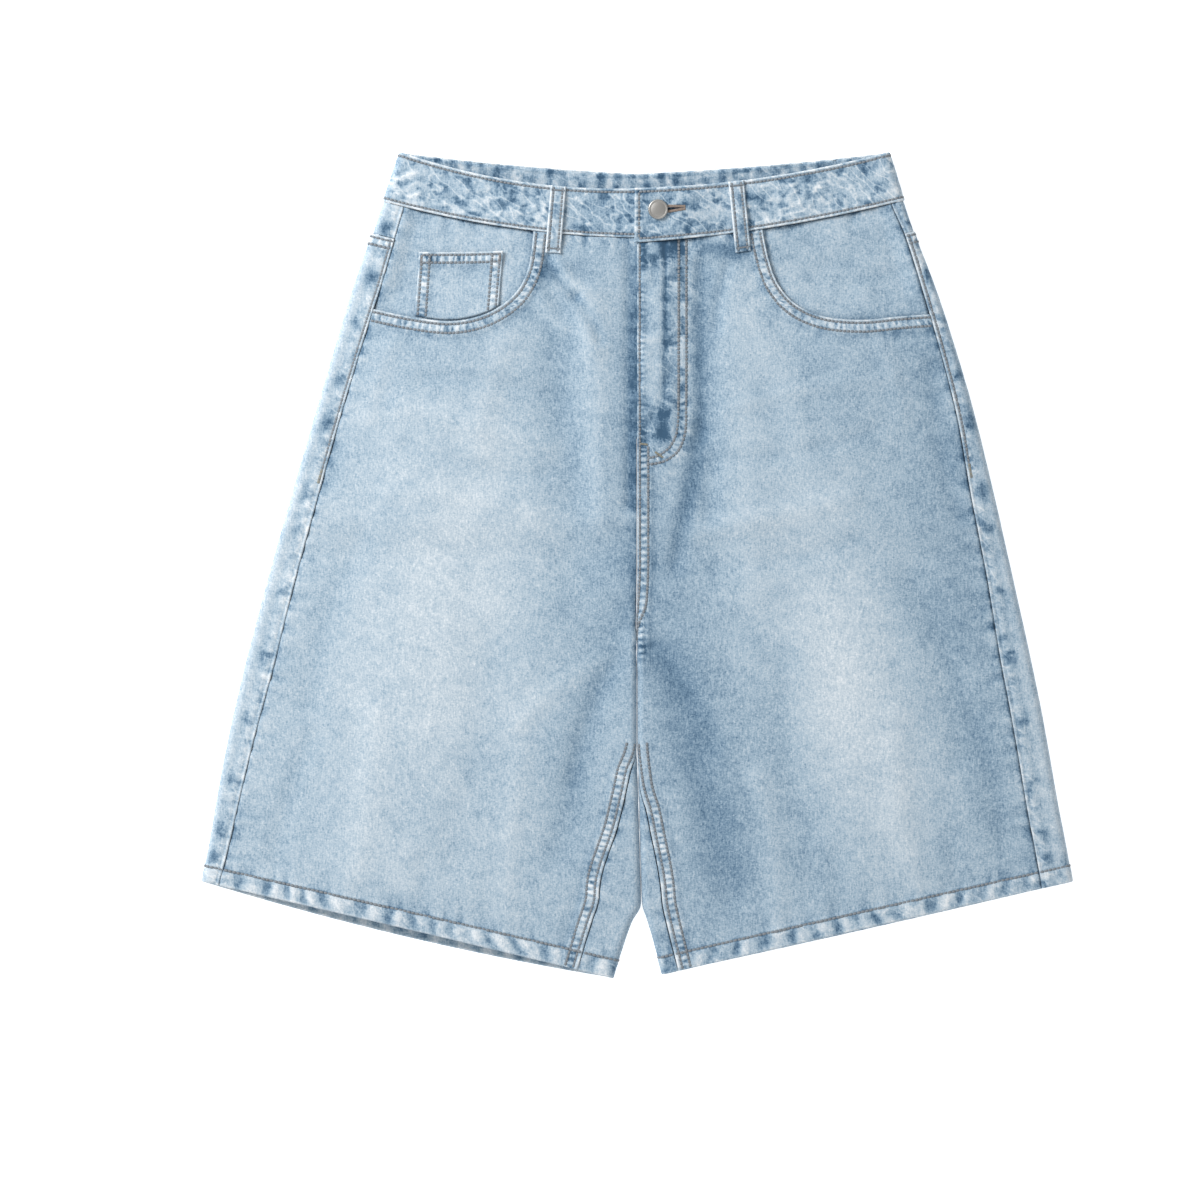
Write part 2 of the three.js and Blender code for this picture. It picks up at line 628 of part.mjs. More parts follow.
// The origin is the middle of the underside
const box = new THREE.Box3().setFromObject(garment);
const middle = box.getCenter(new THREE.Vector3());
garment.position.set(-middle.x, -middle.y, -box.min.z);

export default garment;
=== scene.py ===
"""Dresses a pair of denim shorts that lie flat on a pale floor, front side up.

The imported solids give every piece's place and size. Each piece of cloth is replaced by a fine thin
shell on the same two sheets, the front and the back of a flat tube, with its creases, seams, puckers
and sewing. Sizes are in millimetres, measured from the centre front, and turned into metres last.
"""

import logging
import math
from abc import ABC, abstractmethod
from dataclasses import dataclass
from enum import Enum
from typing import ClassVar

import bmesh
import bpy
import numpy as np
from mathutils import Matrix, Vector


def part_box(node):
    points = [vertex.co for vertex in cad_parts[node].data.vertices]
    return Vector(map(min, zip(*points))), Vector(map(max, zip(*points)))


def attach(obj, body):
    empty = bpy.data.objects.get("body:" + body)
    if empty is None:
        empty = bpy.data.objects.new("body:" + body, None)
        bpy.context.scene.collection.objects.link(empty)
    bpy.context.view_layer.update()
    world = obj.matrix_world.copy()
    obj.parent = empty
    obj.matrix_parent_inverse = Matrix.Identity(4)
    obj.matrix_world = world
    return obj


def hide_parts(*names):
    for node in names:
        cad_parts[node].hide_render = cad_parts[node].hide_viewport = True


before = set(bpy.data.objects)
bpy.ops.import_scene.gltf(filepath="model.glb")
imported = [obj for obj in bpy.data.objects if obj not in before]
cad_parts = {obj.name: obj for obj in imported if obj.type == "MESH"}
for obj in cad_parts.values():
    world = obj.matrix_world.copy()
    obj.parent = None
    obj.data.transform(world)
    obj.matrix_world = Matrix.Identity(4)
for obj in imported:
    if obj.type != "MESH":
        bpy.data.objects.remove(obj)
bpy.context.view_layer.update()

Array = np.ndarray
Place = tuple[float, float]
Numbers = tuple[float, ...]
log = logging.getLogger("shorts")

MM = 0.001
BODY = "root"

# A distance past the reach of every seam
FAR = 99.0

# Cloth
CLOTH = 1.2
BAND_CLOTH = 2.4
HEM_CLOTH = 2.4
POCKET_CLOTH = 1.6
LOOP_CLOTH = 1.6
GAP = 0.3
HALF_GAP = GAP / 2
INSEAM_HALF_GAP = 0.35

# The flat tube
FOLD_RADIUS = 5.0
LOFT = 11.0
QUARTER_FOLD = FOLD_RADIUS * math.pi / 2
FOLD_EXTRA = QUARTER_FOLD - FOLD_RADIUS
WAIST_Y = 262.0
BAND_TOP = -40.0
CROTCH = 323.0
LEG_FORMS = 262.0
LEG_PARTING = 0.4
LEG_FADE = 30.0
HEM_LINE = 592.0
HEM_DEPTH = 15.0
HEM_STEP = 2.5
HEM_RAISE = 0.6
HEM_PITCH = 3.4
INSEAM_FROM = 82.0
SEAT_LIFT = POCKET_CLOTH + GAP
SEAT_END = 5.0
SEAT_RAMP = 35.0

# Fly, waistband ends and button
FLY_LAP = 10.0
FLY_LAP_FADE = (138.0, 162.0)
FLY_WIDTH = 40.0
FLY_LIFT = CLOTH + GAP + 0.1
FLY_END = 170.0
FLY_FADE = 40.0
FLY_SEWN_DOWN = (160.0, 178.0)
FLY_AREA_END = (150.0, 182.0)
ZIP_TO = 22.4
ZIP_END = (120.0, 136.0)
BAND_LIFT = 1.0
BAND_LAP = 28.0
BAND_END = 2.0
BAND_LAP_LIFT = BAND_CLOTH + GAP
BAND_LAP_FADE = (BAND_LAP + 4.3, 73.0)
BUTTON_AT = (17.0, -23.5)

# Hand pockets and yoke
FACING_UNDER = 12.0
FACING_DROP = 2.0
FACING_RISE_SHARE = 0.87
FACING_RISE_DEPTH = (0.6, 0.9)
SCOOP_TURN = 0.42
SCOOP_LOWEST = 140.0
SCOOP_SHADE = 0.1
YOKE_SIDE = 27.0
YOKE_CENTRE = 67.0
YOKE_TURN = 0.05
BACK_TOP = 30.0
BACK_EVEN_FROM = 160.0
BACK_LOOP_TOP = 314.0
FRONT_TURN_BELOW = 8.0
FRONT_TURN_END = 185.0
FRONT_EVEN_FROM = 236.0

# Sections across each half, from the waistband's top edge to the hem
SECTION = (
    "down", "outer_x", "outer_y", "inner_x", "front_y",
    "back_y", "side_seam", "inseam", "front_sag", "back_sag",
)
RIGHT_SECTIONS = (
    (-40, 189.6, 330.8, 0, 301.8, 314, 16, 0, -9, -2),
    (0, 203, 291, 0, 262, 274, 17, 0, -6.5, -2),
    (75, 227.7, 222, 0, 187, 196, 21.3, 0, -5, -2),
    (180, 256.6, 125.6, 0, 82, 87, 20.6, 0, -3, -2),
    (260, 278, 52, 0, 2, 4, 21.4, 0, -2, -2),
    (323, 294.5, -5.8, 0, -61, -61, 22, 0, -1, -1),
    (400, 313.1, -76.6, 0, -138, -138, 23, 0, 0, -1),
    (435, 320.9, -108.8, -0.8, -173, -173, 22, 7.3, 0, -2),
    (470, 328, -141, -1.8, -208, -208, 20.6, 16, 0, -3),
    (533, 338.7, -199, -3.4, -271, -271, 17.6, 34, 0, -5),
    (548, 341, -212.5, 4, -286, -286, 17, 30.5, 0, -5.5),
    (592, 348.6, -253, 18.6, -330.5, -330.5, 14.4, 29.5, 0.8, -6),
)
LEFT_SECTIONS = (
    (-40, 201.6, 330.8, 0, 301.8, 314, 11, 0, -6, -2),
    (0, 213.6, 292, 0, 258, 274, 10.4, 0, -5, -2),
    (28, 222, 266.4, 0, 230.5, 245, 8, 0, -4.5, -2),
    (75, 239, 223, 0, 184, 196, 11, 0, -4, -2),
    (180, 268.8, 126.6, 0, 80.5, 87, 14.2, 0, -3, -2),
    (260, 286.8, 53, 0, 1.5, 4, 18.8, 0, -2, -2),
    (323, 300, -4.8, 0, -61, -61, 20.6, 0, -1, -1),
    (400, 315.6, -75.6, 0, -138, -138, 24.4, 0, 0, 0),
    (435, 322.4, -108, 1, -173, -173, 25, 1.5, 0, 0),
    (470, 328.4, -140.2, 1.8, -208, -208, 25.2, 7.5, 0, 0),
    (533, 338.7, -198.5, 3.8, -270, -270, 25.6, 16, 0, -0.5),
    (548, 341.5, -212.3, 8.2, -285, -285, 25.6, 14.3, 0, -0.8),
    (592, 349, -253, 20, -327.5, -327.5, 25.6, 13, 0.5, -1),
)

# Edge of each hand pocket's scoop, from the waist seam to the side seam
RIGHT_SCOOP = (
    (82.8, 266.5), (87.4, 236.4), (99.5, 215.6), (121.2, 201.2),
    (148.8, 195.3), (180.8, 198.8), (211, 205.2),
)
LEFT_SCOOP = (
    (100.3, 269.5), (104.5, 248), (112.4, 226), (127, 209.2),
    (150, 199), (180, 196.4), (210, 199.2), (235, 201),
)


class Side(Enum):
    """The wearer's side, with the sign of its X."""

    RIGHT = -1
    LEFT = 1


class Thread(Enum):
    """The sewing threads, by their place in a thread mesh's list of materials."""

    GREY = 0
    TAN = 1
    OCHRE = 2


@dataclass(frozen=True)
class Fold:
    """A soft ridge or trough along a slightly bowed line.

    Args:
        start: Where it starts, as X and Y.
        end: Where it ends.
        width: Half its width.
        height: Its height, below zero for a trough.
        bow: How far its middle stands off the straight line.
    """

    start: Place
    end: Place
    width: float
    height: float
    bow: float = 0.0

    def at(self, x: Array, y: Array) -> Array:
        """Its height at some places.

        Args:
            x, y: Places across and along the legs.

        Returns:
            The height in millimetres, fading past both of its ends.
        """
        run_x = self.end[0] - self.start[0]
        run_y = self.end[1] - self.start[1]
        length = math.hypot(run_x, run_y)
        along = ((x - self.start[0]) * run_x + (y - self.start[1]) * run_y) / length
        across = ((x - self.start[0]) * run_y - (y - self.start[1]) * run_x) / length
        share = np.clip(along / length, 0.0, 1.0)
        across = across - self.bow * 4.0 * share * (1.0 - share)
        past = np.maximum(np.maximum(-along, along - length), 0.0)
        return self.height * np.exp(-(across**2 + past**2) / self.width**2)


# The largest folds, which the solids have too
MAIN_FOLDS = (
    Fold((-160, 150), (-195, -230), 62, 2.6),
    Fold((150, 140), (195, -230), 62, 2.6),
    Fold((-12, -40), (-62, -225), 16, -1.6),
    Fold((20, -60), (76, -262), 17, -1.6),
    Fold((-74, 200), (-40, -70), 24, -1.2),
    Fold((-36, 215), (-28, 40), 13, 1.6),
    Fold((-62, 236), (-34, 176), 9, 1.3),
    Fold((56, 235), (57, 40), 10, -1.5),
    Fold((84, 190), (92, -20), 20, 1.2),
    Fold((44, 26), (170, 54), 9, 1.0),
    Fold((-70, 96), (-190, 128), 10, 0.9),
    Fold((150, 232), (205, 236), 18, -0.8),
    Fold((-135, 230), (-180, 232), 18, -0.8),
)

NARROW_FOLDS = tuple(fold for fold in MAIN_FOLDS if fold.width < 25)

# Smaller creases of the front: drags from the crotch, pocket and fly, whiskers, and slack in the legs
FRONT_CREASES = (
    Fold((-6, 256), (-6, 50), 5, -1.3),
    Fold((50, 240), (50, 105), 6, -1.0),
    Fold((50, 108), (31, 0), 7, -1.3),
    Fold((-72, 246), (-49, 215), 4, -1.9, 2),
    Fold((-49, 215), (-30, 180), 5, -1.6, -2),
    Fold((-64, 248), (-42, 218), 4, 0.6, 2),
    Fold((-80, 228), (-60, 190), 6, 1.0, 3),
    Fold((72, 238), (64, 190), 5, -1.1, 2),
    Fold((-60, 200), (-52, 60), 14, -0.9, 5),
    Fold((-14, -70), (-52, -172), 8, -0.9, 5),
    Fold((-6, -64), (-96, -128), 9, 0.7, 6),
    Fold((10, -70), (60, -140), 9, -1.0, -5),
    Fold((14, -50), (110, -92), 10, 0.6, -7),
    Fold((-58, 132), (-170, 150), 6, -0.5, 5),
    Fold((-74, 72), (-182, 96), 7, -0.6, -6),
    Fold((-80, 44), (-200, 58), 8, 0.5, 5),
    Fold((64, 84), (190, 108), 7, -0.6, 6),
    Fold((70, 124), (204, 150), 6, 0.5, -5),
    Fold((62, 0), (176, 22), 8, -0.5, 6),
    Fold((-236, 150), (-250, 60), 8, -0.7, -4),
    Fold((-222, 20), (-262, -110), 13, -0.9, 7),
    Fold((-120, -60), (-150, -240), 17, -0.8, -8),
    Fold((-92, -150), (-104, -290), 10, 0.7, 4),
    Fold((-210, -120), (-232, -262), 12, 0.8, -5),
    Fold((-262, -140), (-290, -236), 9, -0.7, 3),
    Fold((236, 160), (258, 40), 9, -0.8, 5),
    Fold((218, -10), (262, -150), 14, -0.9, -8),
    Fold((116, -80), (142, -250), 15, -0.8, 7),
    Fold((96, -170), (112, -290), 9, 0.7, -4),
    Fold((206, -120), (226, -268), 12, 0.8, 6),
    Fold((270, -120), (292, -226), 9, -0.7, -3),
    Fold((-104, 178), (-128, 90), 12, 0.6, 6),
    Fold((106, 176), (128, 96), 12, 0.6, -6),
    Fold((-196, 178), (-214, 120), 8, 0.6, 3),
    Fold((196, 176), (212, 118), 8, 0.6, -3),
    Fold((-40, -250), (-60, -316), 7, -0.6, 2),
    Fold((-170, -236), (-178, -292), 8, -0.6, -2),
    Fold((160, -232), (166, -296), 8, -0.6, 2),
    Fold((250, -214), (256, -262), 7, -0.5, -1),
)

# Creases of the hidden back, which stand up from the surface it rests on
BACK_CREASES = (
    Fold((-20, -40), (-110, 20), 10, 1.1, 6),
    Fold((20, -44), (116, 16), 10, 1.1, -6),
    Fold((-30, -80), (-150, -60), 12, 0.9, 8),
    Fold((30, -84), (150, -56), 12, 0.9, -8),
    Fold((-70, -90), (-96, -270), 13, 1.0, 8),
    Fold((80, -90), (104, -262), 13, 1.0, -8),
    Fold((-170, -60), (-186, -250), 15, 1.0, -9),
    Fold((176, -50), (190, -244), 15, 1.0, 9),
    Fold((-230, 60), (-256, -90), 11, 0.9, 6),
    Fold((236, 70), (262, -80), 11, 0.9, -6),
    Fold((-200, -10), (-120, 30), 9, 0.7, 5),
    Fold((204, -16), (126, 26), 9, 0.7, -5),
)


def mix(start: Array | float, end: Array | float, share: Array | float) -> Array | float:
    """A value part of the way from start to end."""
    return start + (end - start) * share


def ease(value: Array | float, low: float, high: float) -> Array | float:
    """The eased share of the way from low to high, from 0 to 1."""
    share = np.clip((value - low) / (high - low), 0.0, 1.0)
    return share * share * (3.0 - 2.0 * share)


def bell(value: Array | float, width: float) -> Array | float:
    """1 at zero, falling off on both sides over about that width."""
    return np.exp(-((value / width) ** 2))


def speck(column: Array, row: Array, seed: float) -> Array:
    """A repeatable number from 0 to 1 for each whole-number place."""
    value = np.sin(column * 127.1 + row * 311.7 + seed * 74.7) * 43758.5453
    return value - np.floor(value)


def mottle(x: Array | float, y: Array | float, seed: float) -> Array:
    """Smooth noise from -1 to 1 that changes over one unit.

    Args:
        x: First measure, in units of the noise's size.
        y: Second measure, in the same units.
        seed: Tells one noise from another.

    Returns:
        The noise at each place.
    """
    x, y = np.broadcast_arrays(np.asarray(x, float), np.asarray(y, float))
    column, row = np.floor(x), np.floor(y)
    across, along = x - column, y - row
    across = across * across * (3.0 - 2.0 * across)
    along = along * along * (3.0 - 2.0 * along)
    low = mix(speck(column, row, seed), speck(column + 1, row, seed), across)
    high = mix(speck(column, row + 1, seed), speck(column + 1, row + 1, seed), across)
    return 2.0 * mix(low, high, along) - 1.0


def blocks(along: Array, pitch: float, seed: float) -> Array:
    """Uneven blocks from -1 to 1 along a seam, as the wash leaves them between two rows."""
    phase = 2 * math.pi * along / pitch + 2.4 * mottle(along / (2.6 * pitch), 0.0, seed)
    return np.tanh(2.0 * np.sin(phase)) * (0.7 + 0.3 * mottle(along / (1.7 * pitch), 0.0, seed + 0.5))


def steps(fine: Numbers, start: float, end: float, pitch: float, both: bool = True) -> Array:
    """Places from start to end, close together at the edges and evenly spaced between.

    Args:
        fine: The first distances in from an edge.
        start: The first place.
        end: The last place.
        pitch: About the spacing between the fine stretches.
        both: True if the end has its fine stretch too.

    Returns:
        The places in order.
    """
    near = start + np.array(fine)
    far = end - np.array(fine)[::-1] if both else np.array([end])
    count = max(2, round((far[0] - near[-1]) / pitch))
    return np.concatenate([near, np.linspace(near[-1], far[0], count + 1)[1:-1], far])


@dataclass(eq=False)
class Curve:
    """A smooth line through a few places, by its share of the length.

    Args:
        corners: The places, as X and Y.
        samples: How many steps stand for the line.
        tested: How many of them make one step where distances are found.
        reach: The share of the length over which its direction is taken.
    """

    corners: tuple[Place, ...]
    samples: int = 400
    tested: int = 4
    reach: float = 0.002

    def __post_init__(self) -> None:
        """Samples the line and measures its length."""
        points = np.array(self.corners, float)
        place = np.linspace(0.0, len(points) - 1.0, self.samples + 1)
        self.points = self._curve(points, place)
        reach = np.cumsum(np.linalg.norm(np.diff(self.points, axis=0), axis=1))
        self.share = np.concatenate([[0.0], reach]) / reach[-1]
        self.length = float(reach[-1])

    @staticmethod
    def _curve(points: Array, place: Array) -> Array:
        """Points of the Catmull-Rom curve through the corners.

        Args:
            points: The corners.
            place: Fractional places along them.

        Returns:
            A point for each place.
        """
        last = len(points) - 1
        base = np.minimum(np.floor(place).astype(int), last - 1)
        t = (place - base)[:, None]
        before = np.where((base > 0)[:, None], points[np.maximum(base - 1, 0)], points[base])
        start, end = points[base], points[base + 1]
        after = np.where((base < last - 1)[:, None], points[np.minimum(base + 2, last)], points[base + 1])
        out, back = (end - before) / 2, (after - start) / 2
        return (
            (2 * start - 2 * end + out + back) * t**3
            + (-3 * start + 3 * end - 2 * out - back) * t**2
            + out * t
            + start
        )

    def at(self, share: Array, into: float = 0.0) -> tuple[Array, Array]:
        """Places along the line, moved sideways.

        Args:
            share: Shares of the line's length.
            into: How far to move the places, into the opening of a pocket.

        Returns:
            The X and Y of each place.
        """
        share = np.asarray(share, float)
        near = (share, np.minimum(share + self.reach, 1), np.maximum(share - self.reach, 0))
        here, ahead, behind = ([np.interp(at, self.share, self.points[:, k]) for k in (0, 1)] for at in near)
        run_x, run_y = ahead[0] - behind[0], ahead[1] - behind[1]
        length = np.hypot(run_x, run_y)
        return here[0] - run_y / length * into, here[1] + run_x / length * into

    def distance(self, x: Array, y: Array) -> tuple[Array, Array]:
        """How far places lie from the line.

        Args:
            x, y: Places across and along the legs.

        Returns:
            The distance from the line, and how far along it the nearest point is.
        """
        best = np.full(x.shape, np.inf)
        along = np.zeros(x.shape)
        for point, share in zip(self.points[::self.tested], self.share[::self.tested]):
            gap = np.hypot(x - point[0], y - point[1])
            nearer = gap < best
            best = np.where(nearer, gap, best)
            along = np.where(nearer, share * self.length, along)
        return best, along


def seat_lift(y: Array) -> Array:
    """Height of the back over the surface, where the seat lies on its pockets and loops."""
    return SEAT_LIFT * ease(y, SEAT_END, SEAT_END + SEAT_RAMP)


def front_height(x: Array, y: Array) -> Array:
    """Height of the front sheet's outside, with its folds and creases."""
    slack = 0.35 * mottle(x / 46.0, y / 70.0, 3.0) + 0.12 * mottle(x / 17.0, y / 26.0, 4.0)
    return LOFT + seat_lift(y) + slack + sum(fold.at(x, y) for fold in MAIN_FOLDS + FRONT_CREASES)


def back_height(x: Array, y: Array) -> Array:
    """Height of the back sheet's outside, which rests flat but for its creases."""
    return seat_lift(y) + sum(fold.at(x, y) for fold in BACK_CREASES)


@dataclass(eq=False)
class Half:
    """One half of the shorts, as one sheet over two measures.

    The measure down is taken at the centre front from the waist seam. The measure round is the
    distance from the outer fold, negative on the front sheet and positive on the back one.

    Args:
        side: The wearer's side.
        sections: Its sections, from the waistband's top edge to the hem.
        scoop: The edge of its hand pocket.
        normal_step: Distance over which the sheet's direction is taken.
        closings: How many times a place's measures are corrected.
    """

    side: Side
    sections: tuple[Numbers, ...]
    scoop: Curve
    normal_step: float = 0.05
    closings: int = 12

    def __post_init__(self) -> None:
        """Works out the curves through the columns of the sections."""
        rows = np.array(self.sections, float)
        self.name = self.side.name.lower()
        self.downs = rows[:, 0]
        self.columns = {name: rows[:, i] for i, name in enumerate(SECTION)}
        self.tangents = {name: self._tangents(rows[:, i]) for i, name in enumerate(SECTION)}

    def _tangents(self, values: Array) -> Array:
        """Slopes that keep a curve from going past any row.

        Args:
            values: One column of the sections.

        Returns:
            The slope at each row.
        """
        slopes = np.diff(values) / np.diff(self.downs)
        before = np.concatenate([slopes[:1], slopes])
        after = np.concatenate([slopes, slopes[-1:]])
        same_way = before * after > 0
        total = np.where(same_way, before + after, 1.0)
        return np.where(same_way, 2 * before * after / total, 0.0)

    def column(self, name: str, down: Array) -> Array:
        """One measure of the sections.

        Args:
            name: The column's name.
            down: Places down the centre front.

        Returns:
            The measure there, straight along the band and smooth below it.
        """
        down = np.asarray(down, float)
        values, tangents = self.columns[name], self.tangents[name]
        i = np.clip(np.searchsorted(self.downs, down, side="right") - 1, 0, len(values) - 2)
        step = self.downs[i + 1] - self.downs[i]
        t = (down - self.downs[i]) / step
        rise = values[i + 1] - values[i]
        bend = step * (tangents[i] * t * (1 - t) ** 2 - tangents[i + 1] * t * t * (1 - t))
        return np.where(i == 0, values[i] + rise * t, values[i] + rise * t * t * (3 - 2 * t) + bend)

    def legness(self, down: Array) -> Array:
        """0 where a section crosses the body, 1 where each leg closes on itself."""
        return ease(down, LEG_FORMS, CROTCH)

    def ends(self, on_front: bool, down: Array) -> tuple[Array, Array, Array, Array]:
        """Both ends of a section.

        Args:
            on_front: True for the front sheet.
            down: Places down the centre front.

        Returns:
            X and Y of its inner end, then of its outer fold.
        """
        inner_x = self.column("inner_x", down) + self.legness(down) * LEG_PARTING / 2
        inner_y = self.column("front_y" if on_front else "back_y", down)
        return inner_x, inner_y, self.column("outer_x", down), self.column("outer_y", down)

    def width(self, on_front: bool, down: Array) -> Array:
        """Straight distance across a section."""
        inner_x, inner_y, outer_x, outer_y = self.ends(on_front, down)
        return np.hypot(outer_x - inner_x, outer_y - inner_y)

    def girth(self, on_front: bool, down: Array) -> Array:
        """Length of cloth across one sheet, with its share of the folds."""
        return self.width(on_front, down) + FOLD_EXTRA * (1 + self.legness(down))

    def layer_point(self, on_front: bool, down: Array, from_inner: Array) -> Array:
        """Places on one sheet.

        Args:
            on_front: True for the front sheet.
            down: Places down the centre front.
            from_inner: Distances from the inner fold or the centre line, along the cloth.

        Returns:
            The points, with X, Y and Z last.
        """
        down, from_inner = np.broadcast_arrays(np.asarray(down, float), np.asarray(from_inner, float))
        inner_x, inner_y, outer_x, outer_y = self.ends(on_front, down)
        width = np.hypot(outer_x - inner_x, outer_y - inner_y)
        legness = self.legness(down)
        girth = width + FOLD_EXTRA * (1 + legness)
        to_outer = girth - from_inner
        inward = np.minimum(from_inner / FOLD_RADIUS, math.pi / 2)
        outward = np.minimum(to_outer / FOLD_RADIUS, math.pi / 2)
        run_in = np.where(inward < math.pi / 2, FOLD_RADIUS * (1 - np.cos(inward)), from_inner - FOLD_EXTRA)
        run_out = np.where(outward < math.pi / 2, FOLD_RADIUS * (1 - np.cos(outward)), to_outer - FOLD_EXTRA)
        run_in = mix(from_inner, run_in, legness)
        share = np.where(from_inner < girth / 2, run_in / width, 1 - run_out / width)
        rise = mix(1.0, np.sin(inward), legness) * np.sin(outward)
        sag = self.column("front_sag" if on_front else "back_sag", down)
        x = self.side.value * mix(inner_x, outer_x, share)
        y = mix(inner_y, outer_y, share) + sag * 4 * share * (1 - share)
        middle = seat_lift(y) + LOFT / 2
        z = mix(middle, front_height(x, y) if on_front else back_height(x, y), rise)
        return np.stack([x, y, z], axis=-1)

    def place(self, down: Array, around: Array) -> Array:
        """Places on the outside of the cloth. Past the back's inner fold they lie on the front.

        Args:
            down: Places down the centre front.
            around: Round measures.

        Returns:
            The points, with X, Y and Z last.
        """
        down, around = np.broadcast_arrays(np.asarray(down, float), np.asarray(around, float))
        back_girth = self.girth(False, down)
        past = (around > back_girth) & (self.legness(down) >= 1)
        on_front = (around <= 0) | past
        front_inner = np.where(past, around - back_girth, self.girth(True, down) + around)
        front = self.layer_point(True, down, front_inner)
        back = self.layer_point(False, down, back_girth - around)
        return np.where(on_front[..., None], front, back)

    def normal(self, down: Array, around: Array) -> Array:
        """Outward directions of the sheet.

        Args:
            down: Places down the centre front.
            around: Round measures.

        Returns:
            Directions of length one.
        """
        step = self.normal_step
        across = self.place(down, around + step) - self.place(down, around - step)
        along = self.place(down + step, around) - self.place(down - step, around)
        facing = -self.side.value * np.cross(across, along)
        return facing / np.maximum(np.linalg.norm(facing, axis=-1, keepdims=True), 1e-9)

    def measure(self, x: Array, y: Array) -> tuple[Array, Array]:
        """The measures of places on the front sheet, found by closing in on them.

        Args:
            x, y: Distances from the centre line, and places along the legs.

        Returns:
            Down, and the distance from the inner end.
        """
        down, from_inner = WAIST_Y - np.asarray(y, float), np.array(x, float)
        for _ in range(self.closings):
            now = self.layer_point(True, down, from_inner)
            from_inner = from_inner + x - self.side.value * now[..., 0]
            down = down - (y - now[..., 1])
        return down, from_inner

    def scoop_at(self, share: Array, into: float = 0.0) -> tuple[Array, Array]:
        """Down and the distance from the inner end, along the pocket's edge."""
        return self.measure(*self.scoop.at(share, into))

    def side_edge(self, down: Array) -> Array:
        """Distance from the inner end to a front piece's edge at the side seam."""
        return self.girth(True, down) - self.column("side_seam", down) - FOLD_EXTRA - HALF_GAP

    def inner_edge(self, down: Array) -> Array:
        """Distance from the inner end to the front panel's edge at the fly or inseam."""
        inseam = self.column("inseam", down)
        return inseam + FOLD_EXTRA * np.clip(inseam / FOLD_RADIUS, 0, 1) + INSEAM_HALF_GAP

    def back_start(self, down: Array) -> Array:
        """Round measure of the back pieces' edge at the side seam, on the front."""
        return HALF_GAP - self.column("side_seam", down) - FOLD_EXTRA

    def back_end(self, down: Array) -> Array:
        """Round measure of the back panel's far edge, at the centre back or the inseam."""
        past = np.where(self.legness(down) < 1, 0.0, self.inner_edge(down) - INSEAM_HALF_GAP)
        return self.girth(False, down) + past - INSEAM_HALF_GAP


RIGHT = Half(Side.RIGHT, RIGHT_SECTIONS, Curve(RIGHT_SCOOP))
LEFT = Half(Side.LEFT, LEFT_SECTIONS, Curve(LEFT_SCOOP))


def _origin() -> Array:
    """How far the row's frame lies from the centre front's, by the loop at the centre back."""
    low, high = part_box("belt_loop_back_centre")
    return np.array([(low.x + high.x) / 2, high.y, low.z]) / MM - np.array([0.0, BACK_LOOP_TOP, 0.0])


ORIGIN = _origin()


# Both ends of each bar tack of the fly
FLY_TACKS = (((2.8, 97.4), (8.6, 96.6)), ((14.4, 90.8), (20.6, 86.4)))

# Outer and inner stitch rows of the fly's curve, from the waist seam to the fly's edge
FLY_OUTER = Curve((
    (39.4, 261), (39.4, 190), (39.2, 130), (38.6, 108), (33.6, 93), (24.8, 85), (16.6, 82), (7.4, 80.6),
))
FLY_INNER = Curve((
    (33.4, 261), (33.2, 190), (33, 130), (31.8, 108), (27.4, 96.6), (22, 91), (16, 87.6), (8.6, 85.8),
))


@dataclass(frozen=True)
class WashAndShade:
    """A paler or darker patch: where the wash has taken colour out of the denim or left it in, and also
    painted shade beside the fly and in its trough, and painted light and shade on the outer sides.

    Args:
        centre: Its middle, as X and Y.
        size: Half its width and half its length.
        tilt: How far it leans, as X gained for each step down.
        amount: Above zero where it is paler.
    """

    centre: Place
    size: Place
    tilt: float
    amount: float

    def at(self, x: Array, y: Array) -> Array:
        """The change in tone at some places.

        Args:
            x, y: Places across and along the legs.

        Returns:
            The change, ragged at its rim.
        """
        down = self.centre[1] - y
        across = x - self.centre[0] - self.tilt * down
        ragged = 1.0 + 0.16 * mottle(x / 34.0, y / 50.0, 21.0)
        return self.amount * np.exp(-((across / self.size[0]) ** 2 + (down / self.size[1]) ** 2) * ragged)


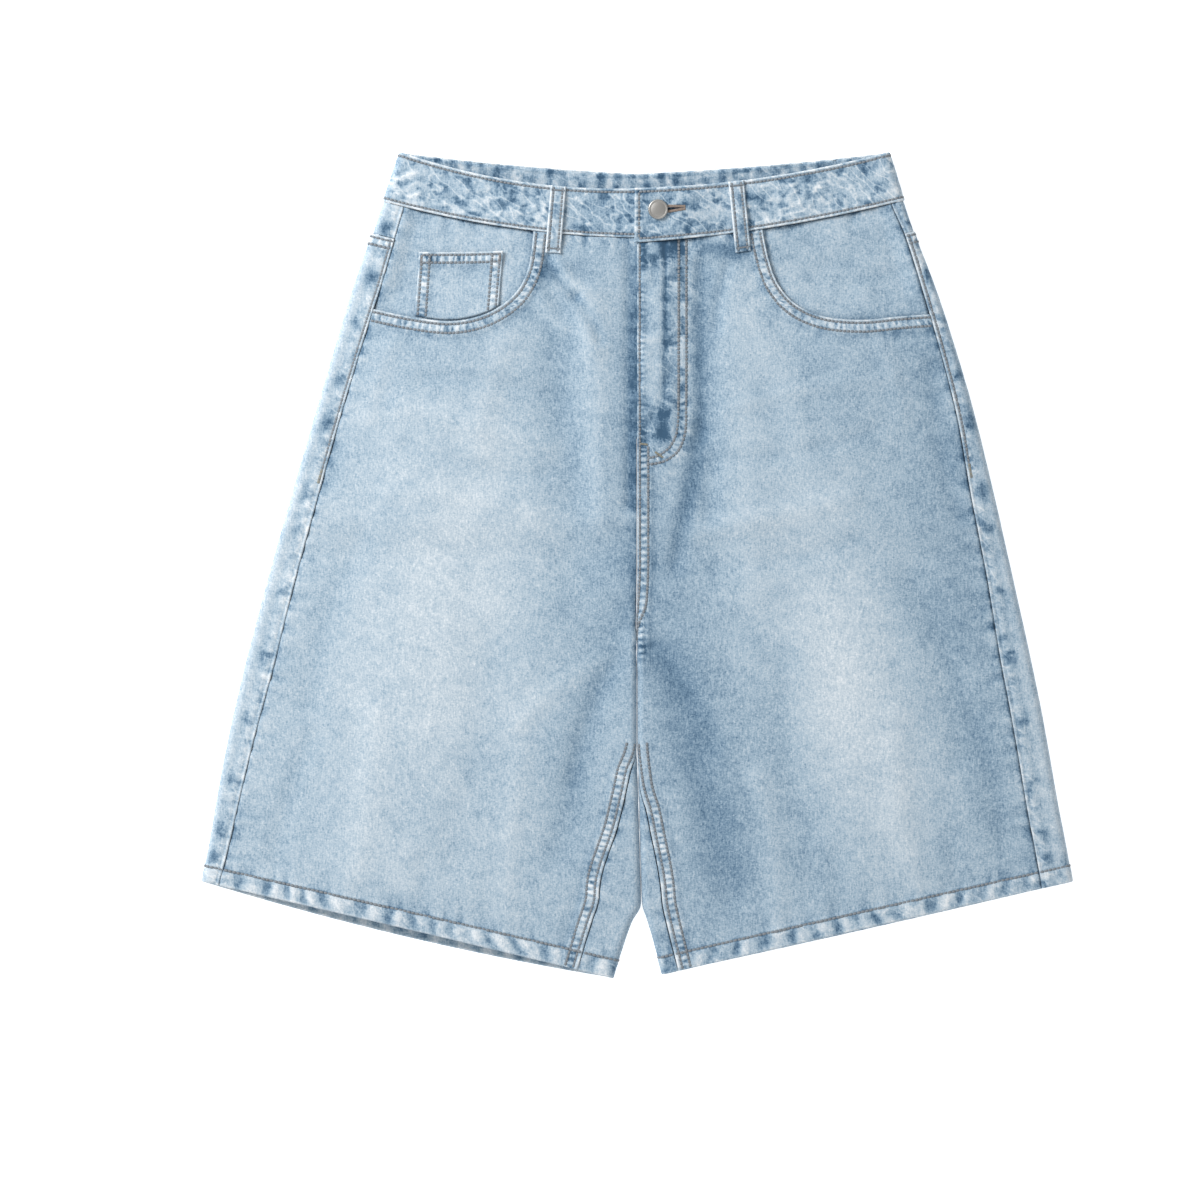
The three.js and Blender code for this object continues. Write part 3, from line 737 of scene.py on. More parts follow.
# The front's paler and darker patches: the pale thighs and the broad patches are the wash, the small dark
# patches below the band lie in its troughs, and the others are painted light and shade as marked
FRONT_WASH_AND_SHADE = (
    WashAndShade((-150, -34), (80, 180), -0.14, 0.17),
    WashAndShade((-150, -60), (40, 120), -0.14, 0.05),
    WashAndShade((162, -76), (60, 160), 0.2, 0.18),
    WashAndShade((168, -110), (30, 90), 0.2, 0.08),
    WashAndShade((-150, 160), (70, 36), 0.0, -0.04),
    WashAndShade((120, 130), (80, 40), 0.0, -0.06),
    # Darker inner legs: partly colour left in, partly painted shade
    WashAndShade((-44, -90), (34, 190), -0.1, -0.03),
    WashAndShade((44, -110), (36, 190), 0.24, -0.13),
    # Painted shade in the trough right of the fly, and in its run down towards the crotch
    WashAndShade((50, 165), (6, 62), 0.0, -0.14),
    WashAndShade((42, 60), (8, 50), -0.17, -0.16),
    # Painted shadow beside the fly's edge, and painted shade over the slope down to it
    WashAndShade((-3, 130), (4, 112), 0.0, -0.26),
    WashAndShade((-30, 150), (24, 120), 0.1, -0.05),
    # Painted light on the outer side at negative X, and painted shade on the outer side at positive X
    WashAndShade((-258, -40), (40, 200), -0.2, 0.06),
    WashAndShade((262, -10), (30, 170), 0.2, -0.09),
    WashAndShade((-150, -240), (150, 50), 0.0, 0.05),
    WashAndShade((150, 225), (60, 30), 0.0, 0.08),
    WashAndShade((-150, 225), (60, 30), 0.0, 0.04),
    WashAndShade((80, 250), (13, 8), 0.0, -0.3),
    WashAndShade((58, 254), (22, 6), 0.0, -0.26),
    WashAndShade((-76, 230), (9, 13), 0.0, -0.22),
    WashAndShade((-58, 240), (16, 7), 0.0, -0.14),
)

# How much paler a crease or a fold is for each millimetre that it stands up, and darker for each that it
# sinks: partly wear, partly painted light and shade
CREASE_WEAR_AND_SHADE = 0.085
FOLD_WEAR_AND_SHADE = 0.05


def garment_tone(x: Array, y: Array) -> Array:
    """The tone all over: the wash, with painted light and shade on the folds and on the two halves.

    Args:
        x: Places across.
        y: Places along the legs.

    Returns:
        The tone at each place, from 0 for dark to 1 for pale.
    """
    # Painted light and shade: the half at positive X, away from the key light, is a little darker and the
    # other half a little paler
    side_shade = np.where(x > 0, -0.015, 0.015)
    clouds = 0.035 * mottle(x / 28.0, y / 40.0, 31.0) + 0.02 * mottle(x / 9.0, y / 13.0, 32.0)
    # Creases and folds paler on their ridges and darker in their troughs: partly wear, partly painted light
    # and shade
    worn_and_shaded = CREASE_WEAR_AND_SHADE * sum(fold.at(x, y) for fold in FRONT_CREASES)
    worn_and_shaded = worn_and_shaded + FOLD_WEAR_AND_SHADE * sum(fold.at(x, y) for fold in NARROW_FOLDS)
    return 0.5 + side_shade + clouds + worn_and_shaded + sum(fade.at(x, y) for fade in FRONT_WASH_AND_SHADE)


@dataclass
class Look:
    """The small shape and the tone of some places on a piece, from the wash and from painted shade.

    Args:
        height: How far the cloth stands out.
        tone: Change in tone, from the wash and from painted shade.
        crinkle: How much of the small high-contrast mottling shows.
    """

    height: Array
    tone: Array
    crinkle: Array

    @classmethod
    def plain(cls, x: Array, crinkle: float = 0.0) -> "Look":
        """Flat and untouched cloth at some places, with even mottling."""
        return cls(np.zeros(x.shape), np.zeros(x.shape), np.full(x.shape, crinkle))

    def add(self, other: "Look", share: Array | float = 1.0) -> None:
        """Adds another look's height and tone, and keeps the stronger mottling.

        Args:
            other: The other look.
            share: How much of it is added.
        """
        self.height = self.height + other.height * share
        self.tone = self.tone + other.tone * share
        self.crinkle = np.maximum(self.crinkle, other.crinkle * share)


@dataclass(frozen=True)
class Lap:
    """A folded edge that is sewn down over another piece: a raised strip, pale on its ridges.

    Args:
        rows: Distances of its stitch rows from the edge.
        width: Width of the raised strip.
        rise: How far the strip stands up.
        seed: Tells its unevenness from another's.
        puff: How much paler and darker the blocks between its rows are.
        bite: How dark the notches beyond its last row are.
        pale: How pale its folded edge is.
    """

    rows: Numbers
    width: float
    rise: float = 0.9
    seed: float = 40.0
    puff: float = 0.46
    bite: float = 0.42
    pale: float = 0.15

    def look(self, distance: Array, along: Array) -> Look:
        """Its shape and wash.

        Args:
            distance: Distances from the folded edge, into the piece.
            along: Distances along the edge.

        Returns:
            The look, which fades out past the strip.
        """
        inside = distance > -0.01
        away = np.maximum(distance, 0.0)
        strip = 1.0 - ease(distance, self.width - 1.5, self.width + 2.5)
        roll = np.clip(1.0 - distance / 0.9, 0.0, 1.0) ** 2
        ridge = bell(distance - 1.1, 0.8)
        sewn = sum(bell(distance - row, 0.8) for row in self.rows)
        middle = self.rows[0] / 2 + self.rows[-1] / 2 if len(self.rows) > 1 else self.width * 0.65
        puffs = blocks(along, 5.2, self.seed) * bell(distance - middle, 3.0)
        reach = np.exp(-away / 13.0)
        puckers = mottle(along / 5.6, distance / 34.0, self.seed + 1) * reach
        broad = mottle(along / 15.0, distance / 40.0, self.seed + 2) * reach
        notches = np.clip(-mottle(along / 3.4, distance / 22.0, self.seed + 3) - 0.05, 0, 1)
        past = distance - self.rows[-1]
        notches = notches * np.exp(-np.maximum(past, 0.0) / 4.5) * (past > 0)
        height = self.rise * strip - self.rise * roll + 0.22 * ridge - 0.42 * sewn
        height = height + 0.32 * puffs + 0.5 * puckers + 0.4 * broad - 0.35 * notches
        rim = self.pale + 0.12 * mottle(along / 9.0, 0.0, self.seed + 4)
        tone = rim * bell(distance - 0.8, 0.9) + self.puff * puffs + 0.14 * puckers + 0.05 * broad
        # Painted shade along the stitch rows and just past the foot of the raised strip; the notches keep
        # their colour
        tone = tone - 0.14 * sewn - 0.08 * bell(distance - self.width - 2.0, 2.2) - self.bite * notches
        return Look(*(np.where(inside, value, 0.0) for value in (height, tone, 0.7 * strip)))


@dataclass(frozen=True)
class Under:
    """A piece's edge beside another that laps over it: pressed down, with painted shadow along the edge and
    colour left in its notches.

    Args:
        depth: How far it is pressed down.
        seed: Tells its unevenness from another's.
        bite: How dark the notches along it are.
    """

    depth: float = 0.45
    seed: float = 50.0
    bite: float = 0.4

    def look(self, distance: Array, along: Array) -> Look:
        """Its shape and wash.

        Args:
            distance: Distances from the edge.
            along: Distances along it.

        Returns:
            The look, which fades out away from the edge.
        """
        away = np.maximum(distance, 0.0)
        reach = np.exp(-away / 12.0)
        puckers = mottle(along / 6.2, distance / 30.0, self.seed) * reach
        notches = np.clip(-mottle(along / 4.2, distance / 16.0, self.seed + 1), 0, 1) * np.exp(-away / 6.0)
        pressed_and_shaded = np.exp(-away / 1.2)
        height = -self.depth * pressed_and_shaded + 0.55 * puckers - 0.75 * self.bite * notches
        # Along the edge the tone is darkened as painted shadow under the lapping piece; the notches keep
        # their colour
        return Look(height, 0.12 * puckers - 0.14 * pressed_and_shaded - self.bite * notches, 0.35 * reach)


@dataclass(frozen=True)
class Hem:
    """The doubled, sewn and roped edge of each leg.

    Args:
        row: How far its stitch row lies from the edge.
        twist: Length of one turn of its rope along the edge.
        reach: How far above it its puckers begin.
    """

    row: float = HEM_DEPTH - 1.0
    twist: float = 19.0
    reach: float = 30.0

    @staticmethod
    def share(down: Array) -> Array:
        """1 where the cloth is doubled."""
        return ease(down, HEM_LINE - HEM_DEPTH - HEM_STEP, HEM_LINE - HEM_DEPTH)

    def look(self, down: Array, along: Array, seed: float) -> Look:
        """Its shape and wash.

        Args:
            down: Places down the centre front.
            along: Distances along the hem.
            seed: Tells its unevenness from another's.

        Returns:
            The look, for the hem and the puckers above it.
        """
        up = HEM_LINE - down
        lean = along + up * (0.25 + 0.6 * mottle(along / 50.0, 0.0, seed + 4))
        phase = 2 * math.pi * lean / self.twist + 2.2 * mottle(lean / 42.0, 0.0, seed)
        strength = 0.75 + 0.45 * mottle(lean / 13.0, up / 40.0, seed + 1)
        bars = np.clip(1.7 * np.sin(phase) - 0.4, 0.0, 1.0) * strength
        pale = np.clip(-1.9 * np.sin(phase + 0.5) - 0.9, 0.0, 1.0) * strength
        rope = 0.9 * pale - 1.5 * bars + 0.25
        held = bell(up - 7.5, 7.5) * (up < self.row + 1)
        above = np.exp(-np.maximum(up - self.row, 0.0) / 8.0) * (up >= self.row)
        puckers = mottle(along / 5.6, up / 30.0, seed + 2) * above
        bites = np.clip(-mottle(along / 4.4, up / 18.0, seed + 5), 0, 1) * above
        roll = np.clip(1.0 - up / 1.0, 0.0, 1.0) ** 2
        sewn = bell(up - self.row, 1.3)
        height = 0.5 * rope * held - 0.7 * roll - 0.5 * sewn + 0.5 * puckers - 0.3 * bites
        # Painted shade along the stitch row
        tone = 0.27 * rope * held + 0.12 * puckers - 0.2 * sewn + 0.12 * bell(up - 0.8, 1.0) - 0.34 * bites
        return Look(height, tone, 0.55 * ease(-up, -17.0, -14.0))


HEM = Hem()


@dataclass
class Patch:
    """A net of stations on one half.

    Args:
        half: The half.
        down: Places down the centre front.
        around: Round measures.
    """

    half: Half
    down: Array
    around: Array

    @property
    def from_inner(self) -> Array:
        """Distances from the inner end, on the front sheet."""
        return self.around + self.half.girth(True, self.down)


@dataclass
class Row:
    """A row of stitches along a line of stations.

    Args:
        patch: Its stations, in order.
        thread: Its thread.
        pitch: Length of a stitch with its gap.
        tack: Width of a dense bar tack, or zero for a row.
    """

    patch: Patch
    thread: Thread = Thread.GREY
    pitch: float = 3.1
    tack: float = 0.0


def front_patch(half: Half, down: Array, from_inner: Array) -> Patch:
    """Stations on the front sheet, placed by distances from the inner end."""
    down, from_inner = np.broadcast_arrays(np.asarray(down, float), np.asarray(from_inner, float))
    return Patch(half, down, from_inner - half.girth(True, down))


def front_row(half: Half, down: Array, from_inner: Array, **facts: object) -> Row:
    """A row on the front sheet, placed by distances from the inner end."""
    return Row(front_patch(half, down, from_inner), **facts)


def row_at(half: Half, down: Array, around: Array, **facts: object) -> Row:
    """A row placed by round measures."""
    return Row(Patch(half, *np.broadcast_arrays(down, around)), **facts)


def both_ways(shares: Numbers) -> Array:
    """Shares to both sides of zero, with zero between them."""
    return np.array([*(-share for share in shares[::-1]), 0.0, *shares])


def between(start: Array, end: Array, near: Numbers, count: int, far: Numbers = (0.0,)) -> Array:
    """Rows of places from start to end, close together at the ends.

    Args:
        start: Where each row starts.
        end: Where each row ends.
        near: Fine distances in from the start.
        count: How many even steps lie between the fine ones.
        far: Fine distances in from the end.

    Returns:
        One row of places for each start.
    """
    start, end = np.broadcast_arrays(np.asarray(start, float), np.asarray(end, float))
    first = start[:, None] + np.array(near)
    last = end[:, None] - np.array(far)[::-1]
    even = np.linspace(0.0, 1.0, count + 1)[1:-1]
    middle = first[:, -1:] + (last[:, :1] - first[:, -1:]) * even
    return np.concatenate([first, middle, last], axis=1)


def rows_to_hem(top: Array, body: tuple[Numbers, ...], pitch: float, foot: Numbers) -> Array:
    """Places down a panel, close together at its upper seam and at the hem.

    Args:
        top: The fine places at the upper seam.
        body: Start, end and spacing of each even stretch.
        pitch: The spacing over the hem.
        foot: Fine distances up from the hem's edge, the largest first.

    Returns:
        The places as one column.
    """
    stretches = (*body, (HEM_LINE - 24.0, HEM_LINE - 3.0, pitch))
    places = [top, *(np.arange(*stretch) for stretch in stretches), HEM_LINE - np.array(foot)]
    return np.concatenate(places)[:, None]


# Distances in from an edge, close together where it is sewn, and shares of a piece for the same
EDGE_FINE = (0.0, 0.5, 1.1, 1.8, 2.6, 3.4, 4.5, 6.0, 7.4, 8.2, 9.0, 10.2, 12.0, 14.0, 16.5, 19.0, 21.5)
FINE_SHARES = (0.0, 0.008, 0.018, 0.032, 0.05)


class Piece(ABC):
    """Anything that is built, takes a finish and rides on the body."""

    name: str
    slot: str

    @abstractmethod
    def build(self) -> list[bpy.types.Object]:
        """Makes the piece's objects."""

    def settle(self, built: bpy.types.Object, slot: str) -> bpy.types.Object:
        """Links an object, smooths it and lets it ride on the body.

        Args:
            built: The object.
            slot: The material slot; not used.

        Returns:
            The same object.
        """
        bpy.context.scene.collection.objects.link(built)
        built.data.polygons.foreach_set("use_smooth", [True] * len(built.data.polygons))
        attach(built, BODY)
        return built


@dataclass(eq=False, kw_only=True)
class ClothPiece(Piece):
    """A piece of denim as a thin shell, built from one or more nets on the two sheets.

    Args:
        name: The solid that it replaces.
        rests_on: The pieces that it lies on; not used.
        slot: Its material slot.
        flat: Size of the cloth laid flat; not used.
        area: Area of the cloth, if it isn't about a rectangle; not used.
        cloth: Thickness of the cloth.
        weld: How close points are that are made one.
    """

    name: str
    rests_on: tuple[str, ...] = ()
    slot: str = "denim_back"
    flat: Place
    area: float | None = None
    cloth: float = CLOTH
    weld: float = 0.02
    WALL_LEVELS: ClassVar[int] = 20

    @abstractmethod
    def patches(self) -> list[Patch]:
        """The nets that make the piece up."""

    def lift(self, patch: Patch) -> Array:
        """How far the outside stands off the sheet at some stations, as in the solids."""
        return np.zeros(patch.down.shape)

    def look(self, patch: Patch, x: Array, y: Array) -> Look:
        """Seams, puckers and wash.

        Args:
            patch: The stations.
            x, y: Their places across and along the legs.

        Returns:
            The look there.
        """
        return Look.plain(x)

    def rows(self) -> list[Row]:
        """The stitch rows that are sewn through the piece."""
        return []

    def skipped(self, patch: Patch, x: Array, y: Array) -> Array:
        """True at stations whose cells are cut out."""
        return np.zeros(x.shape, bool)

    def outside(self, patch: Patch) -> tuple[Array, Array, Look]:
        """The outside of the cloth at some stations.

        Args:
            patch: The stations.

        Returns:
            Points, outward directions and the look there.
        """
        points = patch.half.place(patch.down, patch.around)
        normals = patch.half.normal(patch.down, patch.around)
        look = self.look(patch, points[..., 0], points[..., 1])
        upper = ease(normals[..., 2], -0.6, 0.4)
        rise = self.lift(patch) * upper + np.maximum(look.height, 0.0) * upper + np.minimum(look.height, 0.0)
        return points + normals * rise[..., None], normals, look

    def build(self) -> list[bpy.types.Object]:
        """Returns:
            The shell, and the sewing if there is any.
        """
        nets = [(patch, *self.outside(patch)) for patch in self.patches()]
        mesh = bpy.data.meshes.new(self.name)
        grids = bmesh.new()
        for patch, *_ in nets:
            rows, columns = patch.down.shape
            bmesh.ops.create_grid(grids, x_segments=columns - 1, y_segments=rows - 1, size=1.0)
        grids.to_mesh(mesh)
        grids.free()
        points = np.concatenate([points.reshape(-1, 3) for _, points, _, _ in nets])
        mesh.vertices.foreach_set("co", ((points + ORIGIN) * MM).ravel())
        plan = [(patch, points[..., 0], points[..., 1]) for patch, points, _, _ in nets]
        marks = {
            "tone": [garment_tone(x, y) + net[3].tone for (_, x, y), net in zip(plan, nets)],
            "crinkle": [net[3].crinkle for net in nets],
            "doubled": [HEM.share(patch.down) for patch, _, _ in plan],
            "cut": [self.skipped(patch, x, y) * 1.0 for patch, x, y in plan],
        }
        for mark, values in marks.items():
            layer = mesh.attributes.new(mark, "FLOAT", "POINT")
            layer.data.foreach_set("value", np.concatenate([value.ravel() for value in values]))
        self._close(mesh, [net[2] for net in nets])
        shell = self.settle(bpy.data.objects.new(f"cloth_{self.name}", mesh), self.slot)
        self._thicken(shell)
        shell.data.materials.append(DENIM.material())
        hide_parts(self.name)
        sewing = Sewing(self).build()
        return [shell, *sewing]

    def _close(self, mesh: bpy.types.Mesh, net_normals: list[Array]) -> None:
        """Turns each net's faces outward, cuts out what is skipped and welds the nets.

        Args:
            mesh: The mesh of all nets.
            net_normals: Outward directions of each net's stations.
        """
        bm = bmesh.new()
        bm.from_mesh(mesh)
        bm.verts.ensure_lookup_table()
        bm.faces.ensure_lookup_table()
        first_vert = first_face = 0
        inside_out = []
        for normals in net_normals:
            rows, columns = normals.shape[:2]
            faces = (rows - 1) * (columns - 1)
            middle = first_vert + rows // 2 * columns + columns // 2
            tested = bm.verts[middle].link_faces[0]
            tested.normal_update()
            if tested.normal.dot(Vector(normals[rows // 2, columns // 2])) < 0:
                inside_out += bm.faces[first_face:first_face + faces]
            first_vert += rows * columns
            first_face += faces
        bmesh.ops.reverse_faces(bm, faces=inside_out)
        cut = bm.verts.layers.float["cut"]
        gone = [face for face in bm.faces if all(vert[cut] > 0.5 for vert in face.verts)]
        bmesh.ops.delete(bm, geom=gone, context="FACES")
        bmesh.ops.remove_doubles(bm, verts=bm.verts, dist=self.weld * MM)
        bm.to_mesh(mesh)
        bm.free()

    def _thicken(self, shell: bpy.types.Object) -> None:
        """Gives the shell its wall, twice as thick where the hem is doubled.

        Args:
            shell: The shell.
        """
        values = np.empty(len(shell.data.vertices))
        shell.data.attributes["doubled"].data.foreach_get("value", values)
        wall = shell.modifiers.new("wall", "SOLIDIFY")
        wall.thickness = self.cloth * MM
        wall.offset = -1.0
        if values.max() > 0.5:
            group = shell.vertex_groups.new(name="doubled")
            levels = np.round(values * self.WALL_LEVELS) / self.WALL_LEVELS
            for level in np.unique(levels):
                group.add(np.flatnonzero(levels == level).tolist(), float(level), "REPLACE")
            wall.vertex_group = group.name
            wall.thickness = HEM_CLOTH * MM
            wall.thickness_vertex_group = self.cloth / HEM_CLOTH


@dataclass(eq=False)
class Sewing(Piece):
    """The stitches and bar tacks on one piece of cloth, as small threads standing on it.

    Args:
        cloth: The cloth that it is sewn through.
        slot: Its material slot.
        width: Width of a stitch.
        tack_width: Width of a bar tack's thread.
        height: Height of a thread.
        stands: How far its middle stands off the cloth.
        gap_share: Share of the pitch that is left between stitches.
        uneven_length: How much the stitches differ in length.
        uneven_tack: How much a tack's threads differ in length.
        lean: How much the threads lean to either side.
        look_ahead: Distance over which a row's direction is taken.
        clearance: How far the threads stay off the surface, by their own depth.
    """

    cloth: ClothPiece
    slot: str = "thread"
    width: float = 2.1
    tack_width: float = 0.75
    height: float = 0.7
    stands: float = 0.32
    gap_share: float = 0.08
    uneven_length: float = 0.06
    uneven_tack: float = 0.07
    lean: float = 0.05
    look_ahead: float = 0.5
    clearance: float = 1.25

    @property
    def name(self) -> str:
        """The name of its mesh."""
        return f"thread_{self.cloth.name}"

    def build(self) -> list[bpy.types.Object]:
        """Makes one mesh of all the piece's stitches.

        Returns:
            The mesh's object, or nothing if there are no stitches.
        """
        rows = self.cloth.rows()
        if not rows:
            return []
        placed = [self._placed(row) for row in rows]
        frames = [np.concatenate(parts) for parts in zip(*placed)]
        stitch = self._stitch()
        bm = bmesh.new()
        for _ in range(len(frames[0])):
            bm.from_mesh(stitch)
        mesh = bpy.data.meshes.new(self.name)
        bm.to_mesh(mesh)
        bm.free()
        form = np.array([vert.co for vert in stitch.vertices])
        bpy.data.meshes.remove(stitch)
        centres, tints = frames[0], frames[4]
        points = centres[:, None] + sum(form[None, :, k, None] * frames[k + 1][:, None] for k in range(3))
        mesh.vertices.foreach_set("co", ((points + ORIGIN) * MM).ravel())
        layer = mesh.attributes.new("tint", "FLOAT", "POINT")
        layer.data.foreach_set("value", np.repeat(tints, len(form)))
        mesh.materials.append(THREAD.material())
        return [self.settle(bpy.data.objects.new(self.name, mesh), self.slot)]

    @staticmethod
    def _stitch() -> bpy.types.Mesh:
        """One rounded stitch, a blunt unit ball with its poles along X.

        Returns:
            Its mesh.
        """
        bm = bmesh.new()
        turn = Matrix.Rotation(math.pi / 2, 4, "Y")
        bmesh.ops.create_uvsphere(bm, u_segments=6, v_segments=4, radius=1.0, matrix=turn)
        for vert in bm.verts:
            if 0.5 < abs(vert.co.x) < 0.9:
                vert.co = Vector((math.copysign(0.84, vert.co.x), vert.co.y * 1.3, vert.co.z * 1.3))
        mesh = bpy.data.meshes.new("stitch")
        bm.to_mesh(mesh)
        bm.free()
        return mesh

    def _placed(self, row: Row) -> tuple[Array, Array, Array, Array, Array]:
        """Where one row's stitches go.

        Args:
            row: The row.

        Returns:
            Centres, half axes along, across and up, and tints, one for each stitch.
        """
        points, normals, _ = self.cloth.outside(row.patch)
        reach = np.concatenate([[0.0], np.cumsum(np.linalg.norm(np.diff(points, axis=0), axis=1))])
        count = max(1, int(reach[-1] / row.pitch))
        places = (np.arange(count) + 0.5) * reach[-1] / count

        def at(values: Array, where: Array) -> Array:
            """Values of the stations at some places along the row."""
            return np.stack([np.interp(where, reach, values[:, k]) for k in range(3)], axis=1)

        centres, ups = at(points, places), self._unit(at(normals, places))
        along = self._unit(at(points, places + self.look_ahead) - at(points, places - self.look_ahead))
        across = self._unit(np.cross(ups, along))
        uneven = np.sin(np.arange(count) * 12.9 + centres[:, 0])[:, None]
        length = row.pitch * (1.0 - self.gap_share) * (1.0 + self.uneven_length * uneven)
        width = self.width
        if row.tack:
            along, across = across, -along
            length, width = row.tack * (1.0 + self.uneven_tack * uneven), self.tack_width
        along = self._unit(along + across * self.lean * uneven)
        across = self._unit(np.cross(ups, along))
        tints = np.full(count, float(row.thread.value))
        centres = centres + ups * self.stands
        axes = along * length / 2, across * width / 2, ups * self.height / 2
        reach_down = np.sqrt(sum(axis[:, 2] ** 2 for axis in axes))
        centres[:, 2] = np.maximum(centres[:, 2], self.clearance * reach_down)
        return centres, *axes, tints

    @staticmethod
    def _unit(vectors: Array) -> Array:
        """Vectors of length one."""
        return vectors / np.maximum(np.linalg.norm(vectors, axis=-1, keepdims=True), 1e-9)


@dataclass(eq=False, kw_only=True)
class FrontPanel(ClothPiece):
    """Front of a leg, with the scoop of the hand pocket cut out of its upper corner.

    Args:
        half: The half that it is on.
        fly_edge: The left one's folded edge beside the zip.
        seam_lap: The centre seam from the fly to the crotch.
        inseam_lap: The inseam.
        scoop_lap: The hand pocket's edge.
        turn_columns: Even steps of the net above the scoop's turn.
        scoop_columns: Steps of the net along the rest of the scoop.
    """

    half: Half
    slot: str = "denim_front"
    flat: Place = (352.0, 592.0)
    area: float = 145000.0
    fly_edge: Lap = Lap(rows=(1.9,), width=4.0, rise=0.45, seed=60.0, puff=0.1, bite=0.12)
    seam_lap: Lap = Lap(rows=(1.9, 8.7), width=11.0, rise=0.75, seed=62.0)
    inseam_lap: Lap = Lap(rows=(3.6, 10.2), width=12.6, rise=0.6, seed=64.0, puff=0.42, bite=0.22)
    scoop_lap: Lap = Lap(rows=(2.4, 9.4), width=11.5, rise=0.8, seed=66.0, puff=0.32, bite=0.52)
    turn_columns: int = 50
    scoop_columns: int = 84

    @property
    def is_under(self) -> bool:
        """True for the right one, which carries on under the left one at the fly."""
        return self.half.side is Side.RIGHT

    def edge(self, down: Array) -> Array:
        """Distance of its inner edge from the inner end."""
        underlap = FLY_LAP * (1 - ease(down, *FLY_LAP_FADE)) if self.is_under else 0.0
        return self.half.inner_edge(down) - underlap

    def patches(self) -> list[Patch]:
        """A net above the turn of the scoop, and one from there to the hem.

        Returns:
            Both nets.
        """
        half = self.half
        start = float(half.scoop_at(np.array([SCOOP_TURN]))[0][0]) + FRONT_TURN_BELOW
        t = steps(FINE_SHARES, 0.0, 1.0, 0.026, both=False)
        end_down, end_in = half.scoop_at(t * SCOOP_TURN)
        end_down = np.where(t == 0, HALF_GAP, end_down)
        first = mix(HALF_GAP, start, t)
        columns = between(self.edge(first), end_in, EDGE_FINE, self.turn_columns, EDGE_FINE[:14])
        share = (columns - self.edge(first)[:, None]) / (end_in - self.edge(first))[:, None]
        upper_down = mix(first[:, None], end_down[:, None], share)
        upper = front_patch(half, upper_down, columns)

        along = np.linspace(SCOOP_TURN, 1.0, self.scoop_columns + 1)[1:]
        low_down, low_in = half.scoop_at(along)
        low_in[-1] = half.side_edge(low_down[-1])
        top_down = np.concatenate([upper_down[-1], low_down])
        top_in = np.concatenate([columns[-1], low_in])
        top_share = (top_in - self.edge(top_down)) / (half.side_edge(top_down) - self.edge(top_down))
        fine = np.array(EDGE_FINE)
        body = ((start + 24.0, 190.0, 1.8), (190.0, 400.0, 2.8), (400.0, HEM_LINE - 24.5, 1.6))
        nominal = rows_to_hem(start + fine, body, 1.15, (2.6, 1.9, 1.3, 0.8, 0.4, 0.0))
        hold = 1 - ease(nominal, start, FRONT_EVEN_FROM)
        near_top = 1 - ease(nominal, start, FRONT_TURN_END)
        fade = near_top * (FRONT_TURN_END - nominal) / (FRONT_TURN_END - start)
        down = nominal + fade * (top_down - start)
        span = half.side_edge(down) - self.edge(down)
        fixed, count = len(fine), len(top_in)
        past = (np.arange(count) - (fixed - 1)) / (count - fixed)
        even = mix(EDGE_FINE[-1] / span, 1.0, np.clip(past, 0, 1))
        near_edge = np.append(fine, np.zeros(count - fixed)) / span
        share = np.where(np.arange(count) < fixed, near_edge, mix(even, top_share, hold))
        return [upper, front_patch(half, down, mix(self.edge(down), half.side_edge(down), share))]

    def lift(self, patch: Patch) -> Array:
        """The hem is doubled, and the left front is raised along the fly.

        Args:
            patch: The stations.

        Returns:
            How far the outside stands off the sheet.
        """
        hem = HEM_RAISE * HEM.share(patch.down)
        if self.is_under:
            return hem
        along_fly = 1 - ease(patch.down, FLY_END, FLY_END + FLY_FADE)
        return hem + FLY_LIFT * along_fly * (1 - ease(patch.from_inner, FLY_WIDTH / 2, FLY_WIDTH))

    def look(self, patch: Patch, x: Array, y: Array) -> Look:
        """Fly, seams, scoop and hem.

        Args:
            patch: The stations.
            x, y: Their places across and along the legs.

        Returns:
            The look there.
        """
        down, from_inner, half = patch.down, patch.from_inner, self.half
        look = Look.plain(x, 0.16)
        inner = from_inner - half.inner_edge(down)
        leg = ease(down, CROTCH, CROTCH + LEG_FADE)
        look.add(self.inseam_lap.look(inner, down), ease(half.column("inseam", down), 0.5, 6.0))
        if self.is_under:
            look.add(Under(0.5, 70, 0.2).look(np.abs(inner), down), 1 - leg)
        else:
            below_fly = ease(down, *FLY_SEWN_DOWN)
            look.add(self.fly_edge.look(inner, down), 1 - below_fly)
            look.add(self.seam_lap.look(inner, down), below_fly * (1 - leg))
            look.add(self._fly(x, y, down))
        scoop, run = half.scoop.distance(np.abs(x), y)
        look.add(self.scoop_lap.look(np.where(down < SCOOP_LOWEST, scoop, FAR), run))
        side = half.side_edge(down) - from_inner
        look.add(Under(0.55, 72).look(side, down), ease(run, 4.0, 12.0))
        look.add(Under(0.3, 74).look(down, x * 0.9))
        look.crinkle = np.maximum(look.crinkle, 0.75 * np.exp(-down / 11.0))
        look.add(HEM.look(down, x, 76.0), HEM.share(down + HEM.reach))
        return look

